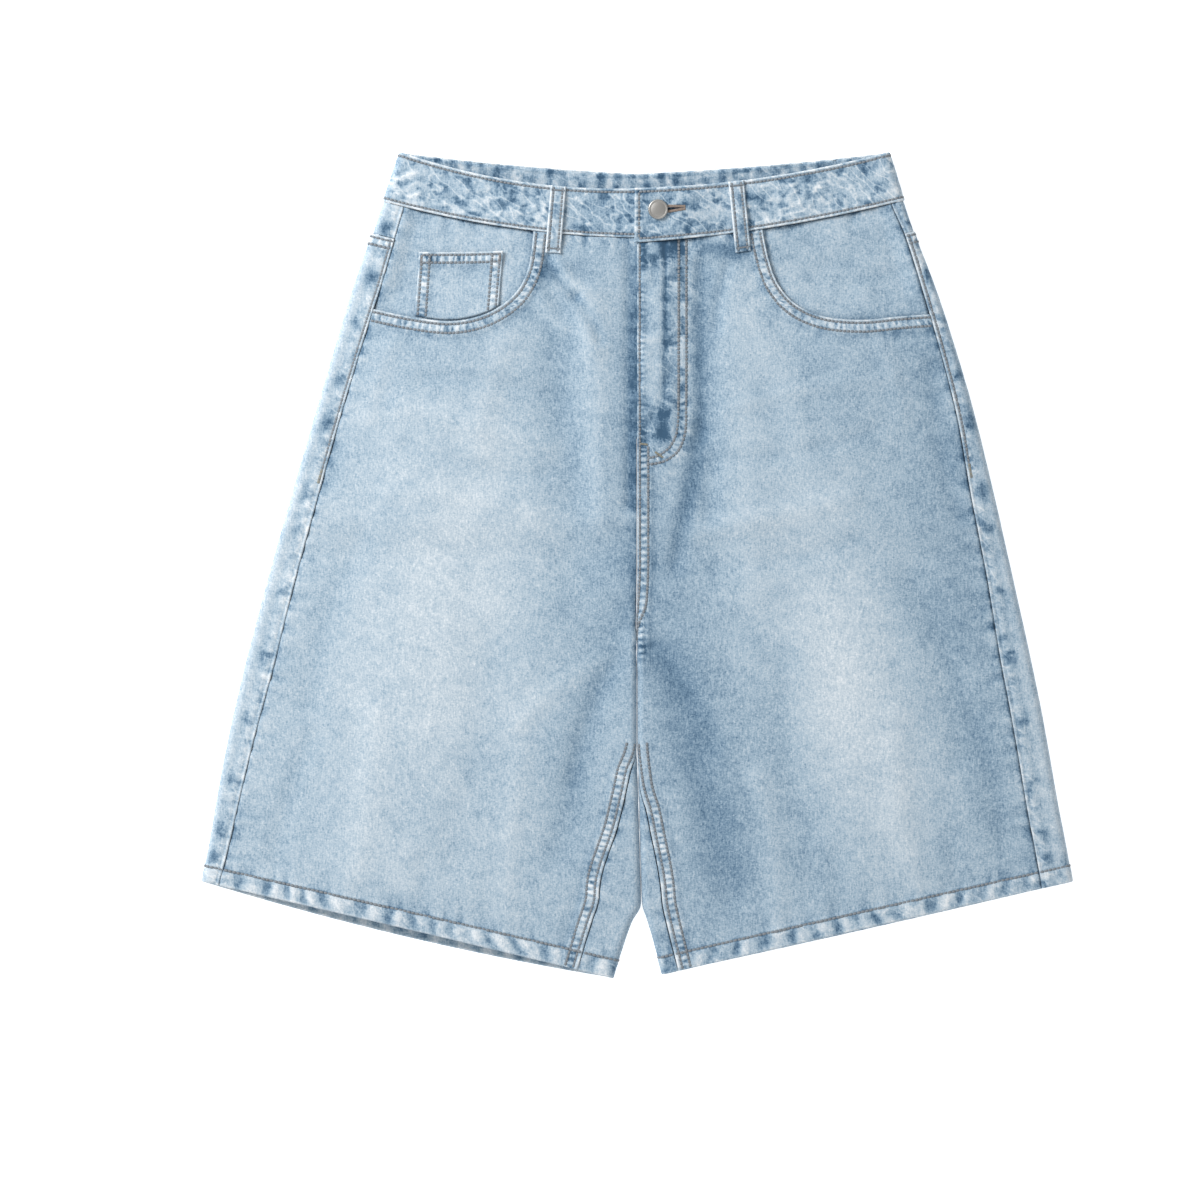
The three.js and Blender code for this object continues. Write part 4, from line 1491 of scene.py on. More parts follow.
    def _fly(self, x: Array, y: Array, down: Array) -> Look:
        """The curve of the fly's two rows, and the flat zip showing through.

        Args:
            x, y: Places across and along the legs.
            down: Places down the centre front.

        Returns:
            The look of the fly.
        """
        outer, run = FLY_OUTER.distance(x, y)
        inner, _ = FLY_INNER.distance(x, y)
        sewn = bell(outer, 0.8) + bell(inner, 0.8)
        puffs = blocks(run, 5.4, 80.0) * bell(outer - 3.2, 2.0) * (inner < 7)
        around = np.exp(-np.minimum(outer, inner) / 9.0)
        puckers = mottle(x / 6.5, y / 7.5, 81.0) * around
        in_fly = (1 - ease(x, FLY_WIDTH - 4, FLY_WIDTH)) * (1 - ease(down, *FLY_AREA_END)) * ease(x, 1.5, 4)
        zip_end = 1 - ease(down, *ZIP_END)
        zip_shape = ease(x, 2.5, 4.5) * (1 - ease(x, ZIP_TO - 2.2, ZIP_TO + 0.2)) * zip_end
        groove = bell(x - ZIP_TO, 1.4) * zip_end
        slack = mottle(x / 7.0, y / 12.0, 82.0) * in_fly
        left_in = np.clip(0.6 + 0.8 * mottle(x / 5.0, y / 26.0, 83.0), 0, 1)
        both_ends = bell(down - 4, 17) + bell(down - 154, 17)
        patches = 0.46 * both_ends * left_in + 0.1 * (x > 22) * zip_end
        bites = blocks(down, 4.8, 86.0) * bell(x - 4.6, 2.0) * (1 - ease(down, 178, 190))
        height = -0.4 * sewn + 0.35 * puffs + 0.5 * puckers + 0.9 * zip_shape - 0.7 * groove + 0.45 * slack
        # Painted shade in the groove along the zip's edge and along the two rows
        tone = 0.36 * puffs + 0.14 * puckers - 0.42 * groove - 0.12 * sewn + 0.1 * slack
        plateau = zip_shape * ease(down, 18, 34)
        tone = tone - patches * in_fly + 0.1 * plateau - 0.06 * in_fly - 0.22 * bites
        return Look(height, tone, 0.8 * np.maximum(in_fly, around) * (1 - 0.75 * plateau))

    def rows(self) -> list[Row]:
        """Rows along the scoop, inseam and hem, and the left one's along the fly.

        Returns:
            The rows.
        """
        half = self.half
        rows = []
        for distance in self.scoop_lap.rows:
            down, from_inner = half.scoop_at(np.linspace(0.0, 1.0, 160), -distance)
            keep = down > 1.0
            rows.append(front_row(half, down[keep], from_inner[keep]))
        down = np.linspace(CROTCH + INSEAM_FROM, HEM_LINE - 1, 90)
        rows += [front_row(half, down, half.inner_edge(down) + distance) for distance in self.inseam_lap.rows]
        hem_down = np.full(150, HEM_LINE - HEM.row)
        hem_in = np.linspace(self.edge(hem_down[0]) + 1.0, half.side_edge(hem_down[0]) - 0.5, 150)
        rows.append(front_row(half, hem_down, hem_in, pitch=HEM_PITCH))
        return rows + ([] if self.is_under else self._fly_rows())

    def _fly_rows(self) -> list[Row]:
        """Rows of the fly and the centre front, with their bar tacks.

        Returns:
            The rows.
        """
        half = self.half
        edge_down = np.linspace(1.0, CROTCH - 1, 160)
        edge_in = half.inner_edge(edge_down) + self.seam_lap.rows[0]
        seam_down = np.linspace(166.0, 318.0, 80)
        seam_in = half.inner_edge(seam_down) + mix(self.seam_lap.rows[1], 2.2, ease(seam_down, 290, 318))
        rows = [front_row(half, edge_down, edge_in), front_row(half, seam_down, seam_in)]
        for curve in (FLY_OUTER, FLY_INNER):
            rows.append(front_row(half, *half.measure(*curve.at(np.linspace(0.0, 1.0, 160)))))
        for tack in FLY_TACKS:
            places = half.measure(*np.linspace(*tack, 8).T)
            rows.append(front_row(half, *places, thread=Thread.OCHRE, pitch=0.7, tack=1.7))
        return rows


@dataclass(eq=False, kw_only=True)
class PocketFacing(ClothPiece):
    """The denim that shows inside a hand pocket's scoop, carried on under the front panel.

    Args:
        half: The half that it is on.
        row_count: Rows of its net.
        column_count: Columns of its net.
    """

    half: Half
    slot: str = "denim_front"
    flat: Place = (150.0, 96.0)
    area: float = 11100.0
    row_count: int = 64
    column_count: int = 80

    def _shares(self) -> tuple[Array, Array]:
        """Shares across the net, then down it."""
        across, down = (np.linspace(0.0, 1.0, count) for count in (self.column_count, self.row_count))
        return across[None, :], down[:, None]

    def patches(self) -> list[Patch]:
        """One net between the waist seam, the side seam and the hidden edge.

        Returns:
            The net, ruled between its four curved edges.
        """
        half = self.half
        s, t = self._shares()
        corner = [float(value[0]) for value in half.scoop_at(np.array([SCOOP_TURN]), -FACING_UNDER)]
        foot_down = float(half.scoop_at(np.array([1.0]), -FACING_UNDER)[0][0])
        inner_top = float(half.scoop_at(np.array([0.0]), -FACING_UNDER)[1][0])
        inward = half.scoop_at(t[:, 0] * SCOOP_TURN, -FACING_UNDER)
        inward[0][0], inward[1][0] = HALF_GAP, inner_top
        below = half.scoop_at(mix(SCOOP_TURN, 1.0, s[0]), -FACING_UNDER)
        below[0][-1], below[1][-1] = foot_down, half.side_edge(foot_down)
        out_down = mix(HALF_GAP, foot_down, t[:, 0])
        out_in = half.side_edge(out_down)
        side_top = float(half.side_edge(HALF_GAP))
        above = (np.full(self.column_count, HALF_GAP), mix(inner_top, side_top, s[0]))
        corners = ((HALF_GAP, HALF_GAP, corner[0], foot_down), (inner_top, side_top, corner[1], out_in[-1]))
        made = []
        for k, outward in enumerate((out_down, out_in)):
            flat_part = mix(mix(corners[k][0], corners[k][1], s), mix(corners[k][2], corners[k][3], s), t)
            across = mix(inward[k][:, None], outward[:, None], s)
            made.append(mix(above[k][None, :], below[k][None, :], t) + across - flat_part)
        return [front_patch(half, *made)]

    def lift(self, patch: Patch) -> Array:
        """It lies under the front panel, and comes up to the side seam below the scoop."""
        s, t = self._shares()
        rise = ease(s, FACING_RISE_SHARE, 1.0) * (1 - ease(t, *FACING_RISE_DEPTH))
        return -FACING_DROP * (1 - rise)

    def look(self, patch: Patch, x: Array, y: Array) -> Look:
        """Seams at the waist and side, and slack in the middle.

        Args:
            patch: The stations.
            x, y: Their places across and along the legs.

        Returns:
            The look there.
        """
        side = self.half.side_edge(patch.down) - patch.from_inner
        slack = mottle(x / 14.0, y / 11.0, 90.0)
        look = Look.plain(x, 0.2)
        look.add(Look(0.3 * slack, 0.03 * slack, 0.0 * slack))
        look.add(Under(0.45, 91).look(side, patch.down))
        look.add(Under(0.3, 92, 0.28).look(patch.down, x * 0.9))
        scoop, _ = self.half.scoop.distance(np.abs(x), y)
        look.tone = look.tone - SCOOP_SHADE * bell(scoop, 5.0)
        return look


@dataclass(eq=False, kw_only=True)
class CoinPocket(ClothPiece):
    """Small patch pocket that stands on the right facing and ends at the scoop.

    Args:
        across: Distances of its two sides from the inner end, at the top.
        top_down: How far down the two ends of its top lie.
        lean: How far its sides lean out from top to foot.
        depth: About its depth.
        foot_gap: How far its foot stays off the scoop.
        edge: Its folded edges.
    """

    name: str = "coin_pocket"
    slot: str = "denim_front"
    cloth: float = 1.0
    flat: Place = (68.0, 54.0)
    area: float = 3300.0
    rests_on: tuple[str, ...] = ("pocket_facing_right",)
    across: Place = (108.0, 176.0)
    top_down: Place = (19.5, 33.0)
    lean: float = 4.0
    depth: float = 50.0
    foot_gap: float = 1.5
    edge: Lap = Lap(rows=(2.4, 8.8), width=10.5, rise=0.55, seed=100.0, puff=0.52, bite=0.5)

    def _station(self, s: Array, t: Array) -> tuple[Array, Array]:
        """Places on the pocket.

        Args:
            s: Shares across it.
            t: Shares down it.

        Returns:
            Down, and the distance from the inner end.
        """
        foot_down, foot_in = RIGHT.scoop_at(np.linspace(0.3, 0.9, 120), self.foot_gap)
        order = np.argsort(foot_in)
        top = mix(*self.across, s)
        foot = np.interp(top + self.lean, foot_in[order], foot_down[order])
        return mix(mix(*self.top_down, s), foot, t), mix(top, top + self.lean, t)

    def patches(self) -> list[Patch]:
        """One net from its hemmed top to the scoop."""
        s = steps(FINE_SHARES, 0.0, 1.0, 0.024)
        t = steps((0.0, 0.01, 0.022, 0.038, 0.058), 0.0, 1.0, 0.03, both=False)
        return [front_patch(RIGHT, *self._station(s[None, :], t[:, None]))]

    def lift(self, patch: Patch) -> Array:
        """Its face stands over the facing by the seam gap and its cloth."""
        return np.full(patch.down.shape, -FACING_DROP + GAP + self.cloth)

    def look(self, patch: Patch, x: Array, y: Array) -> Look:
        """Folded edges at the top and both sides.

        Args:
            patch: The stations.
            x, y: Their places across and along the legs.

        Returns:
            The look there.
        """
        start, end = self.across
        top_share = np.clip((patch.from_inner - start) / (end - start), 0, 1)
        below = patch.down - mix(*self.top_down, top_share)
        lean = self.lean * np.clip(below / self.depth, 0, 1)
        look = Look.plain(x, 0.2)
        look.add(self.edge.look(below, patch.from_inner))
        look.add(self.edge.look(patch.from_inner - start - lean, patch.down), 0.8)
        look.add(self.edge.look(end + lean - patch.from_inner, patch.down), 0.8)
        return look

    def rows(self) -> list[Row]:
        """Double rows along the top and both sides, tan at the upper corners.

        Returns:
            The rows.
        """
        rows = []
        width = self.across[1] - self.across[0]
        for distance in self.edge.rows:
            down, from_inner = self._station(np.linspace(0.03, 0.97, 60), np.zeros(60))
            rows.append(front_row(RIGHT, down + distance, from_inner))
            for s in (distance / width, 1 - distance / width):
                rows.append(front_row(RIGHT, *self._station(np.full(60, s), np.linspace(0.04, 0.99, 60))))
        for s in (0.035, 0.965):
            places = self._station(np.full(12, s), np.linspace(0.05, 0.2, 12))
            rows.append(front_row(RIGHT, *places, thread=Thread.TAN, pitch=0.8, tack=2.2))
        return rows


# Shares of the back pieces' strip beside the side seam, of the outer fold and of the strip at their far edge
SEAM_SHARES = (0.0, 0.03, 0.065, 0.105, 0.15, 0.2, 0.26, 0.33, 0.41, 0.5, 0.6, 0.7, 0.8, 0.9, 1.0)
FOLD_SHARES = (0.25, 0.5, 0.75, 1.0)
INNER_SHARES = (
    0.06, 0.12, 0.18, 0.25, 0.32, 0.39, 0.46, 0.53, 0.59, 0.65,
    0.7, 0.75, 0.79, 0.83, 0.865, 0.9, 0.93, 0.955, 0.98, 1.0,
)

# Spots of colour left in beside the side seam, by their place down and half their length
INK_SPOTS = (
    (20, 5), (64, 6), (104, 4), (151, 4), (190, 10), (252, 8), (282, 4),
    (338, 4), (392, 5), (448, 4), (500, 4), (546, 6), (569, 4),
)


@dataclass(eq=False, kw_only=True)
class BackPiece(ClothPiece):
    """Cloth of the back, which wraps round the outer fold to the side seam on the front.

    Args:
        half: The half that it is on.
        back_columns: Even steps of its net across the back.
        seat_edge: Width of the fine strip at the centre back.
        side_lap: Its edge at the side seam.
    """

    half: Half
    back_columns: int = 96
    seat_edge: float = 45.0
    side_lap: Lap = Lap(rows=(2.6,), width=8.5, rise=0.4, seed=110.0, puff=0.08, bite=0.1, pale=0.04)

    def columns(self, down: Array) -> Array:
        """Round measures from the side seam on the front to the centre back or the inseam.

        Args:
            down: Places down the centre front.

        Returns:
            The measures, with those for one place along the last axis.
        """
        down = np.asarray(down, float)[..., None]
        start, end = self.half.back_start(down), self.half.back_end(down)
        back = self.half.girth(False, down)
        before_inner = back - mix(self.seat_edge, QUARTER_FOLD, self.half.legness(down))
        even = np.linspace(0.0, 1.0, self.back_columns + 1)[1:]
        return np.concatenate([
            mix(start, 0.0, np.array(SEAM_SHARES)),
            mix(0.0 * start, QUARTER_FOLD, np.array(FOLD_SHARES)),
            mix(QUARTER_FOLD, before_inner, even),
            mix(before_inner, end, np.array(INNER_SHARES)),
        ], axis=-1)

    def net(self, down: Array) -> Patch:
        """The net over some places down, one for each row and column."""
        index = np.arange(down.shape[1])
        return Patch(self.half, down, np.stack([self.columns(row_down)[index, index] for row_down in down]))

    def yoke_seam(self) -> Array:
        """How far down the yoke seam lies at each column.

        Returns:
            The place down for each column.
        """
        back = self.half.girth(False, BACK_TOP)
        share = np.clip(self.columns(np.array(BACK_TOP)) / back, 0, 1)
        return mix(YOKE_SIDE, YOKE_CENTRE, ease(share, YOKE_TURN, 1.0))

    def seam_down(self, around: Array) -> Array:
        """How far down the yoke seam lies at some round measures."""
        return np.interp(around, self.columns(np.array(BACK_TOP)), self.yoke_seam())

    def side_look(self, patch: Patch) -> Look:
        """The strip along the side seam, with colour left in it in spots.

        Args:
            patch: The stations.

        Returns:
            The look there.
        """
        distance = patch.around - self.half.back_start(patch.down)
        look = self.side_lap.look(distance, patch.down)
        ragged = 4.0 * mottle(patch.down / 7.0, patch.around / 6.0, 111.0)
        spots = sum(bell(patch.down + ragged - place, size) for place, size in INK_SPOTS)
        on_front = ease(-patch.around, -6.0, 2.0)
        near = on_front * ease(distance, 2.5, 5.5) * (1 - ease(distance, 10.0, 17.0))
        look.tone = look.tone - 0.38 * np.minimum(spots, 1.0) * near + 0.11 * on_front
        look.crinkle = np.maximum(look.crinkle, 0.2 * on_front)
        return look


@dataclass(eq=False, kw_only=True)
class BackYoke(BackPiece):
    """Upper back, from the waist seam to the yoke seam."""

    flat: Place = (244.0, 67.0)
    area: float = 10700.0

    def patches(self) -> list[Patch]:
        """One net between the two seams."""
        t = steps((0.0, 0.02, 0.045, 0.075), 0.0, 1.0, 0.045)[:, None]
        return [self.net(mix(HALF_GAP, self.yoke_seam()[None, :] - HALF_GAP, t))]

    def look(self, patch: Patch, x: Array, y: Array) -> Look:
        """Side seam strip, waist seam and yoke seam.

        Args:
            patch: The stations.
            x, y: Their places across and along the legs.

        Returns:
            The look there.
        """
        look = self.side_look(patch)
        look.add(Under(0.3, 113).look(patch.down, x))
        look.add(Under(0.4, 114).look(self.seam_down(patch.around) - patch.down, x))
        look.add(Under(0.3, 115).look(self.half.back_end(patch.down) - patch.around, patch.down))
        return look


@dataclass(eq=False, kw_only=True)
class BackPanel(BackPiece):
    """Back of a leg, round the outer fold to the side seam and round the inner fold to the inseam.

    Args:
        yoke_lap: Its edge at the yoke seam.
        centre_lap: The left one's edge at the centre back.
        tack_ends: How far down the side's bar tack ends, on the right and on the left.
        tack_length: Length of that tack.
    """

    flat: Place = (416.0, 562.0)
    area: float = 176500.0
    yoke_lap: Lap = Lap(rows=(2.4, 8.6), width=10.5, rise=0.6, seed=116.0)
    centre_lap: Lap = Lap(rows=(2.4, 8.6), width=10.5, rise=0.5, seed=117.0)
    tack_ends: Place = (241.0, 238.0)
    tack_length: float = 12.0

    def patches(self) -> list[Patch]:
        """One net from the yoke seam to the hem.

        Returns:
            The net, which follows the yoke seam at its top and evens out below.
        """
        fine = np.array([0.0, 0.6, 1.4, 2.4, 3.6, 5.0, 6.6, 8.4, 10.4, 12.6])
        body = ((BACK_TOP + 16.0, HEM_LINE - 24.0, 3.1),)
        nominal = rows_to_hem(BACK_TOP + fine, body, 1.3, (2.6, 1.7, 1.0, 0.5, 0.0))
        hold = 1 - ease(nominal, BACK_TOP, BACK_EVEN_FROM)
        fade = hold * (BACK_EVEN_FROM - nominal) / (BACK_EVEN_FROM - BACK_TOP)
        return [self.net(nominal + fade * (self.yoke_seam() + HALF_GAP - BACK_TOP))]

    def lift(self, patch: Patch) -> Array:
        """The hem is doubled."""
        return HEM_RAISE * HEM.share(patch.down)

    def look(self, patch: Patch, x: Array, y: Array) -> Look:
        """Side, yoke, centre and inner seams, and the hem.

        Args:
            patch: The stations.
            x, y: Their places across and along the legs.

        Returns:
            The look there.
        """
        down = patch.down
        look = self.side_look(patch)
        leg = ease(down, CROTCH, CROTCH + LEG_FADE)
        far = self.half.back_end(down) - patch.around
        look.add(Under(0.25, 118, 0.1).look(far, down), leg)
        if self.half.side is Side.LEFT:
            look.add(self.centre_lap.look(far, down), 1 - leg)
        else:
            look.add(Under(0.4, 119).look(far, down), 1 - leg)
        below_yoke = down - self.seam_down(patch.around) - HALF_GAP
        look.add(self.yoke_lap.look(below_yoke, x), 1 - ease(down, 90, 110))
        look.add(HEM.look(down, x, 120.0), HEM.share(down + HEM.reach))
        below = ease(patch.around, 8.0, 20.0) * ease(self.half.girth(False, down) - patch.around, 8.0, 20.0)
        look.tone = look.tone - 0.04 * HEM.share(down) * below
        return look

    def rows(self) -> list[Row]:
        """Rows along the side to the bar tack, the yoke, the centre back and the hem.

        Returns:
            The rows.
        """
        half = self.half
        tack_end = self.tack_ends[0 if half.side is Side.RIGHT else 1]
        side = np.linspace(YOKE_SIDE + 1, tack_end, 90)
        rows = [row_at(half, side, half.back_start(side) + self.side_lap.rows[0])]
        tack = np.linspace(tack_end - self.tack_length, tack_end, 20)
        rows.append(row_at(half, tack, half.back_start(tack) + 2.7, thread=Thread.OCHRE, pitch=0.7, tack=2.2))
        columns = self.columns(np.array(BACK_TOP))
        around = np.linspace(columns[0] + 0.5, columns[-1] - 1, 160)
        for distance in self.yoke_lap.rows:
            rows.append(row_at(half, self.seam_down(around) + HALF_GAP + distance, around, pitch=3.6))
        if half.side is Side.LEFT:
            down = np.linspace(YOKE_CENTRE + 2, CROTCH - 4, 90)
            for distance in self.centre_lap.rows:
                rows.append(row_at(half, down, half.back_end(down) - distance, pitch=3.8))
        hem = HEM_LINE - HEM.row
        across = np.linspace(half.back_start(hem) + 0.5, half.back_end(hem) - 0.5, 240)
        rows.append(row_at(half, np.full(240, hem), across, pitch=HEM_PITCH))
        return rows


@dataclass(eq=False, kw_only=True)
class Waistband(ClothPiece):
    """One folded strip round the waist, its buttonhole end lapped over its button end.

    Args:
        edges: Fine distances in from its edges.
        pitch: Spacing of its rows between them.
        counts: Steps of a half's net along the front, round the fold and along the back.
        hole: Where the buttonhole starts and ends.
        hole_half: Half its width.
        end_row: Distance of the stitch row from the lapped end.
    """

    name: str = "waistband"
    slot: str = "denim_band"
    cloth: float = BAND_CLOTH
    flat: Place = (840.0, 40.0)
    rests_on: tuple[str, ...] = ("back_yoke_right", "back_yoke_left")
    edges: Numbers = (0.0, 0.5, 1.1, 1.8, 2.6, 3.5, 4.6)
    pitch: float = 1.4
    counts: tuple[int, int, int] = (132, 12, 110)
    hole: Place = (14.0, 37.5)
    hole_half: float = 0.9
    end_row: float = 3.6

    def _rows_down(self) -> Array:
        """Distances down of the net's rows, with three through the buttonhole."""
        centre = BUTTON_AT[1]
        upper = steps(self.edges, BAND_TOP, centre - self.hole_half, self.pitch, both=False)
        lower = steps(self.edges, HALF_GAP, -centre - self.hole_half, self.pitch, both=False)
        return np.concatenate([upper, [centre], -lower[::-1]])

    def patches(self) -> list[Patch]:
        """A net on each half, which meet at the centre back."""
        down = self._rows_down()
        return [self._half_net(RIGHT, down, -BAND_LAP), self._half_net(LEFT, down, -BAND_END)]

    def _half_net(self, half: Half, down: Array, start: float) -> Patch:
        """The net from the band's end at the centre front to the centre back.

        Args:
            half: The half that it is on.
            down: Places down of its rows.
            start: Where the band's end lies, from the inner end.

        Returns:
            The net.
        """
        front, back = half.girth(True, down), half.girth(False, down)
        on_front, on_fold, on_back = self.counts
        columns = between(np.full(down.shape, start), front - QUARTER_FOLD, self.edges, on_front)
        fold = np.linspace(-QUARTER_FOLD, QUARTER_FOLD, on_fold + 1)[1:]
        far = mix(QUARTER_FOLD, back[:, None], np.linspace(0.0, 1.0, on_back + 1)[1:])
        around = np.concatenate([columns - front[:, None], np.tile(fold, (len(down), 1)), far], axis=1)
        return Patch(half, np.tile(down[:, None], (1, around.shape[1])), around)

    def lift(self, patch: Patch) -> Array:
        """The buttonhole end is raised over the button end."""
        return band_lift(patch)

    def skipped(self, patch: Patch, x: Array, y: Array) -> Array:
        """The slit of the buttonhole."""
        start, end = self.hole
        inside = (patch.from_inner > start) & (patch.from_inner < end) & (patch.around < 0)
        return inside & (np.abs(patch.down - BUTTON_AT[1]) <= self.hole_half + 0.01) & (patch.half is LEFT)

    def look(self, patch: Patch, x: Array, y: Array) -> Look:
        """Rolled, sewn edges and the crinkles of a doubled strip.

        Args:
            patch: The stations.
            x, y: Their places across and along the legs.

        Returns:
            The look there.
        """
        down = patch.down
        top, foot = down - BAND_TOP, -down
        back = np.where(patch.around > 0, 1.0, 0.0)
        along = x + 400.0 * back
        warp = 3.0 * mottle(along / 16.0, down / 12.0, 129.0)
        cells = mottle((along + warp) / 9.0 + down / 15.0, (down + warp) / 6.4, 130.0)
        other = mottle((along - warp) / 12.0 - down / 13.0, (down + warp) / 7.6, 128.0)
        ridges = np.exp(-np.abs(cells) / 0.13) + 0.8 * np.exp(-np.abs(other) / 0.1)
        ridges = ridges * (0.55 + 0.45 * mottle(along / 21.0, down / 17.0, 127.0)) - 0.3
        small = mottle(along / 3.2, down / 3.6, 131.0)
        broad = mottle(along / 18.0, down / 22.0, 132.0)
        calm = 1.0
        if patch.half is LEFT:
            off_button = np.hypot(patch.from_inner - BUTTON_AT[0], down - BUTTON_AT[1])
            calm = ease(off_button, 7.0, 12.0) * (patch.around < 0) + (patch.around >= 0)
        edges = np.clip(np.minimum(top, foot) / 4.0, 0, 1)
        height = (0.5 * ridges + 0.16 * small + 0.5 * broad) * calm * (0.35 + 0.65 * edges)
        patches = np.clip(np.abs(cells) * 1.7 - 0.25, 0, 1) * np.clip(0.7 + 1.2 * broad, 0, 1)
        tone = (0.16 * ridges - 0.26 * patches + 0.12 * broad) * (0.45 + 0.55 * edges) + 0.08
        tone = tone + back * (0.2 * blocks(along, 12.0, 136.0) - 0.02) - 0.09 * (1 - back) * bell(x, 62.0)
        for distance, seed in ((top, 133.0), (foot, 135.0)):
            reach = np.exp(-distance / 6.0)
            bites = np.clip(-mottle(along / 3.8, distance / 14.0, seed), 0, 1) * np.exp(-distance / 9.0)
            bites = bites * (distance > 2.4)
            height = height - 0.8 * np.clip(1.0 - distance / 1.0, 0, 1) ** 2
            height = height + 0.3 * bell(distance - 1.2, 0.8) - 0.5 * bell(distance - 2.8, 0.9)
            height = height + 0.35 * mottle(along / 5.0, 0.0, seed + 0.5) * reach - 0.3 * bites
            # Painted shade along each edge's stitch row
            tone = tone - 0.42 * bites - 0.1 * bell(distance - 2.9, 0.9) + 0.05
        tone = tone + 0.22 * bell(top - 0.7, 1.0) + 0.2 * bell(foot - 0.7, 1.0) - 0.06
        look = Look(height, tone - 0.07, 1.0 - 0.35 * back)
        if patch.half is LEFT:
            end = np.where(patch.around < 0, patch.from_inner + BAND_END, FAR)
            look.add(Lap(rows=(self.end_row,), width=5.0, rise=0.1, seed=134.0).look(end, down))
        return look

    def rows(self) -> list[Row]:
        """A row along each edge and at the lapped end, and dense thread round the buttonhole.

        Returns:
            The rows.
        """
        rows = []
        for half, start in ((RIGHT, 1.5), (LEFT, self.end_row - BAND_END)):
            for down in (BAND_TOP + 2.8, -2.9):
                around = np.linspace(start - half.girth(True, down), half.girth(False, down) - 0.5, 420)
                rows.append(row_at(half, np.full(420, down), around))
        rows.append(front_row(LEFT, np.linspace(BAND_TOP + 3.4, -3.5, 30), self.end_row - BAND_END))
        for sign in (-1, 1):
            down = BUTTON_AT[1] + sign * np.linspace(2.9, self.hole_half, 40)
            across = np.linspace(self.hole[0] + 1.0, self.hole[1] + 1.5, 40)
            rows.append(front_row(LEFT, down, across, thread=Thread.TAN, pitch=0.6, tack=2.2))
        return rows


def band_lift(patch: Patch) -> Array:
    """How far the waistband stands off the sheet.

    Args:
        patch: The stations.

    Returns:
        The distance, larger where the buttonhole end laps over the button end.
    """
    if patch.half is RIGHT:
        return np.full(patch.down.shape, BAND_LIFT)
    lap = BAND_LAP_LIFT * (1 - ease(patch.from_inner, *BAND_LAP_FADE))
    return BAND_LIFT + np.where(patch.around > 0, 0.0, lap)


@dataclass(eq=False, kw_only=True)
class FrontLoop(ClothPiece):
    """Belt loop sewn at the band's top edge and below its seam, and bowed off it between.

    Args:
        half: The half that it is on.
        top_at: Distance of its middle from the inner end, at the band's top edge.
        foot_at: The same at its foot.
        width: Its width.
        below: How far below the waist seam its foot lies.
        bow: How far it stands off the band halfway.
        half_shares: Shares of its width from the middle to a side.
    """

    half: Half
    top_at: float
    foot_at: float
    slot: str = "denim_band"
    cloth: float = LOOP_CLOTH
    flat: Place = (12.6, 57.0)
    rests_on: tuple[str, ...] = ("waistband",)
    width: float = 12.6
    below: float = 16.5
    bow: float = 0.8
    half_shares: Numbers = (0.08, 0.16, 0.25, 0.32, 0.38, 0.43, 0.47, 0.5)

    def _station(self, s: Array | float, t: Array | float) -> Patch:
        """Stations at shares across, from -0.5 to 0.5, and down the loop."""
        return front_patch(
            self.half, mix(BAND_TOP, self.below, t), mix(self.top_at, self.foot_at, t) + s * self.width,
        )

    def _share_down(self, patch: Patch) -> Array:
        """How far down the loop some stations lie, from 0 to 1."""
        return (patch.down - BAND_TOP) / (self.below - BAND_TOP)

    def patches(self) -> list[Patch]:
        """One net down the loop."""
        t = steps((0.0, 0.008, 0.018, 0.03, 0.045, 0.065), 0.0, 1.0, 0.022)
        return [self._station(both_ways(self.half_shares)[None, :], t[:, None])]

    def lift(self, patch: Patch) -> Array:
        """It clears the band, comes down to the panel below and bows out between its ends."""
        seat = mix(band_lift(patch), 0.0, ease(patch.down, 0.0, self.below))
        return seat + GAP + LOOP_CLOTH + self.bow * np.sin(math.pi * self._share_down(patch)) ** 2

    def look(self, patch: Patch, x: Array, y: Array) -> Look:
        """Folded sides, two sewn rows and folded ends.

        Args:
            patch: The stations.
            x, y: Their places across and along the legs.

        Returns:
            The look there.
        """
        middle = mix(self.top_at, self.foot_at, self._share_down(patch))
        across = np.abs(patch.from_inner - middle)
        side = self.width / 2 - across
        ends = np.minimum(patch.down - BAND_TOP, self.below - patch.down)
        puffs = mottle(across / 3.0, patch.down / 4.2, 140.0)
        height = 0.3 * bell(side - 1.2, 0.9) - 0.45 * bell(side - 2.5, 0.8) - 0.4 * bell(ends - 4.0, 0.9)
        height = height - 0.9 * np.clip(1 - side / 0.8, 0, 1) ** 2 - 0.7 * np.clip(1 - ends / 0.9, 0, 1) ** 2
        # Painted shade along the two stitch rows
        tone = 0.3 * bell(side - 0.7, 1.0) - 0.1 * bell(side - 2.6, 1.0) + 0.15 * bell(ends - 0.8, 1.2)
        tone = tone + 0.1 * puffs - 0.14 * bell(across, 2.2) * ease(ends, 4.0, 8.0)
        return Look(height + 0.22 * puffs, tone, np.full(x.shape, 0.8))

    def rows(self) -> list[Row]:
        """Two rows down it, and a bar tack near each end."""
        rows = [Row(self._station(s, np.linspace(0.02, 0.98, 40))) for s in (-0.3, 0.3)]
        across = np.linspace(-0.42, 0.42, 20)
        return rows + [Row(self._station(across, t), pitch=0.6, tack=1.5) for t in (0.065, 0.935)]


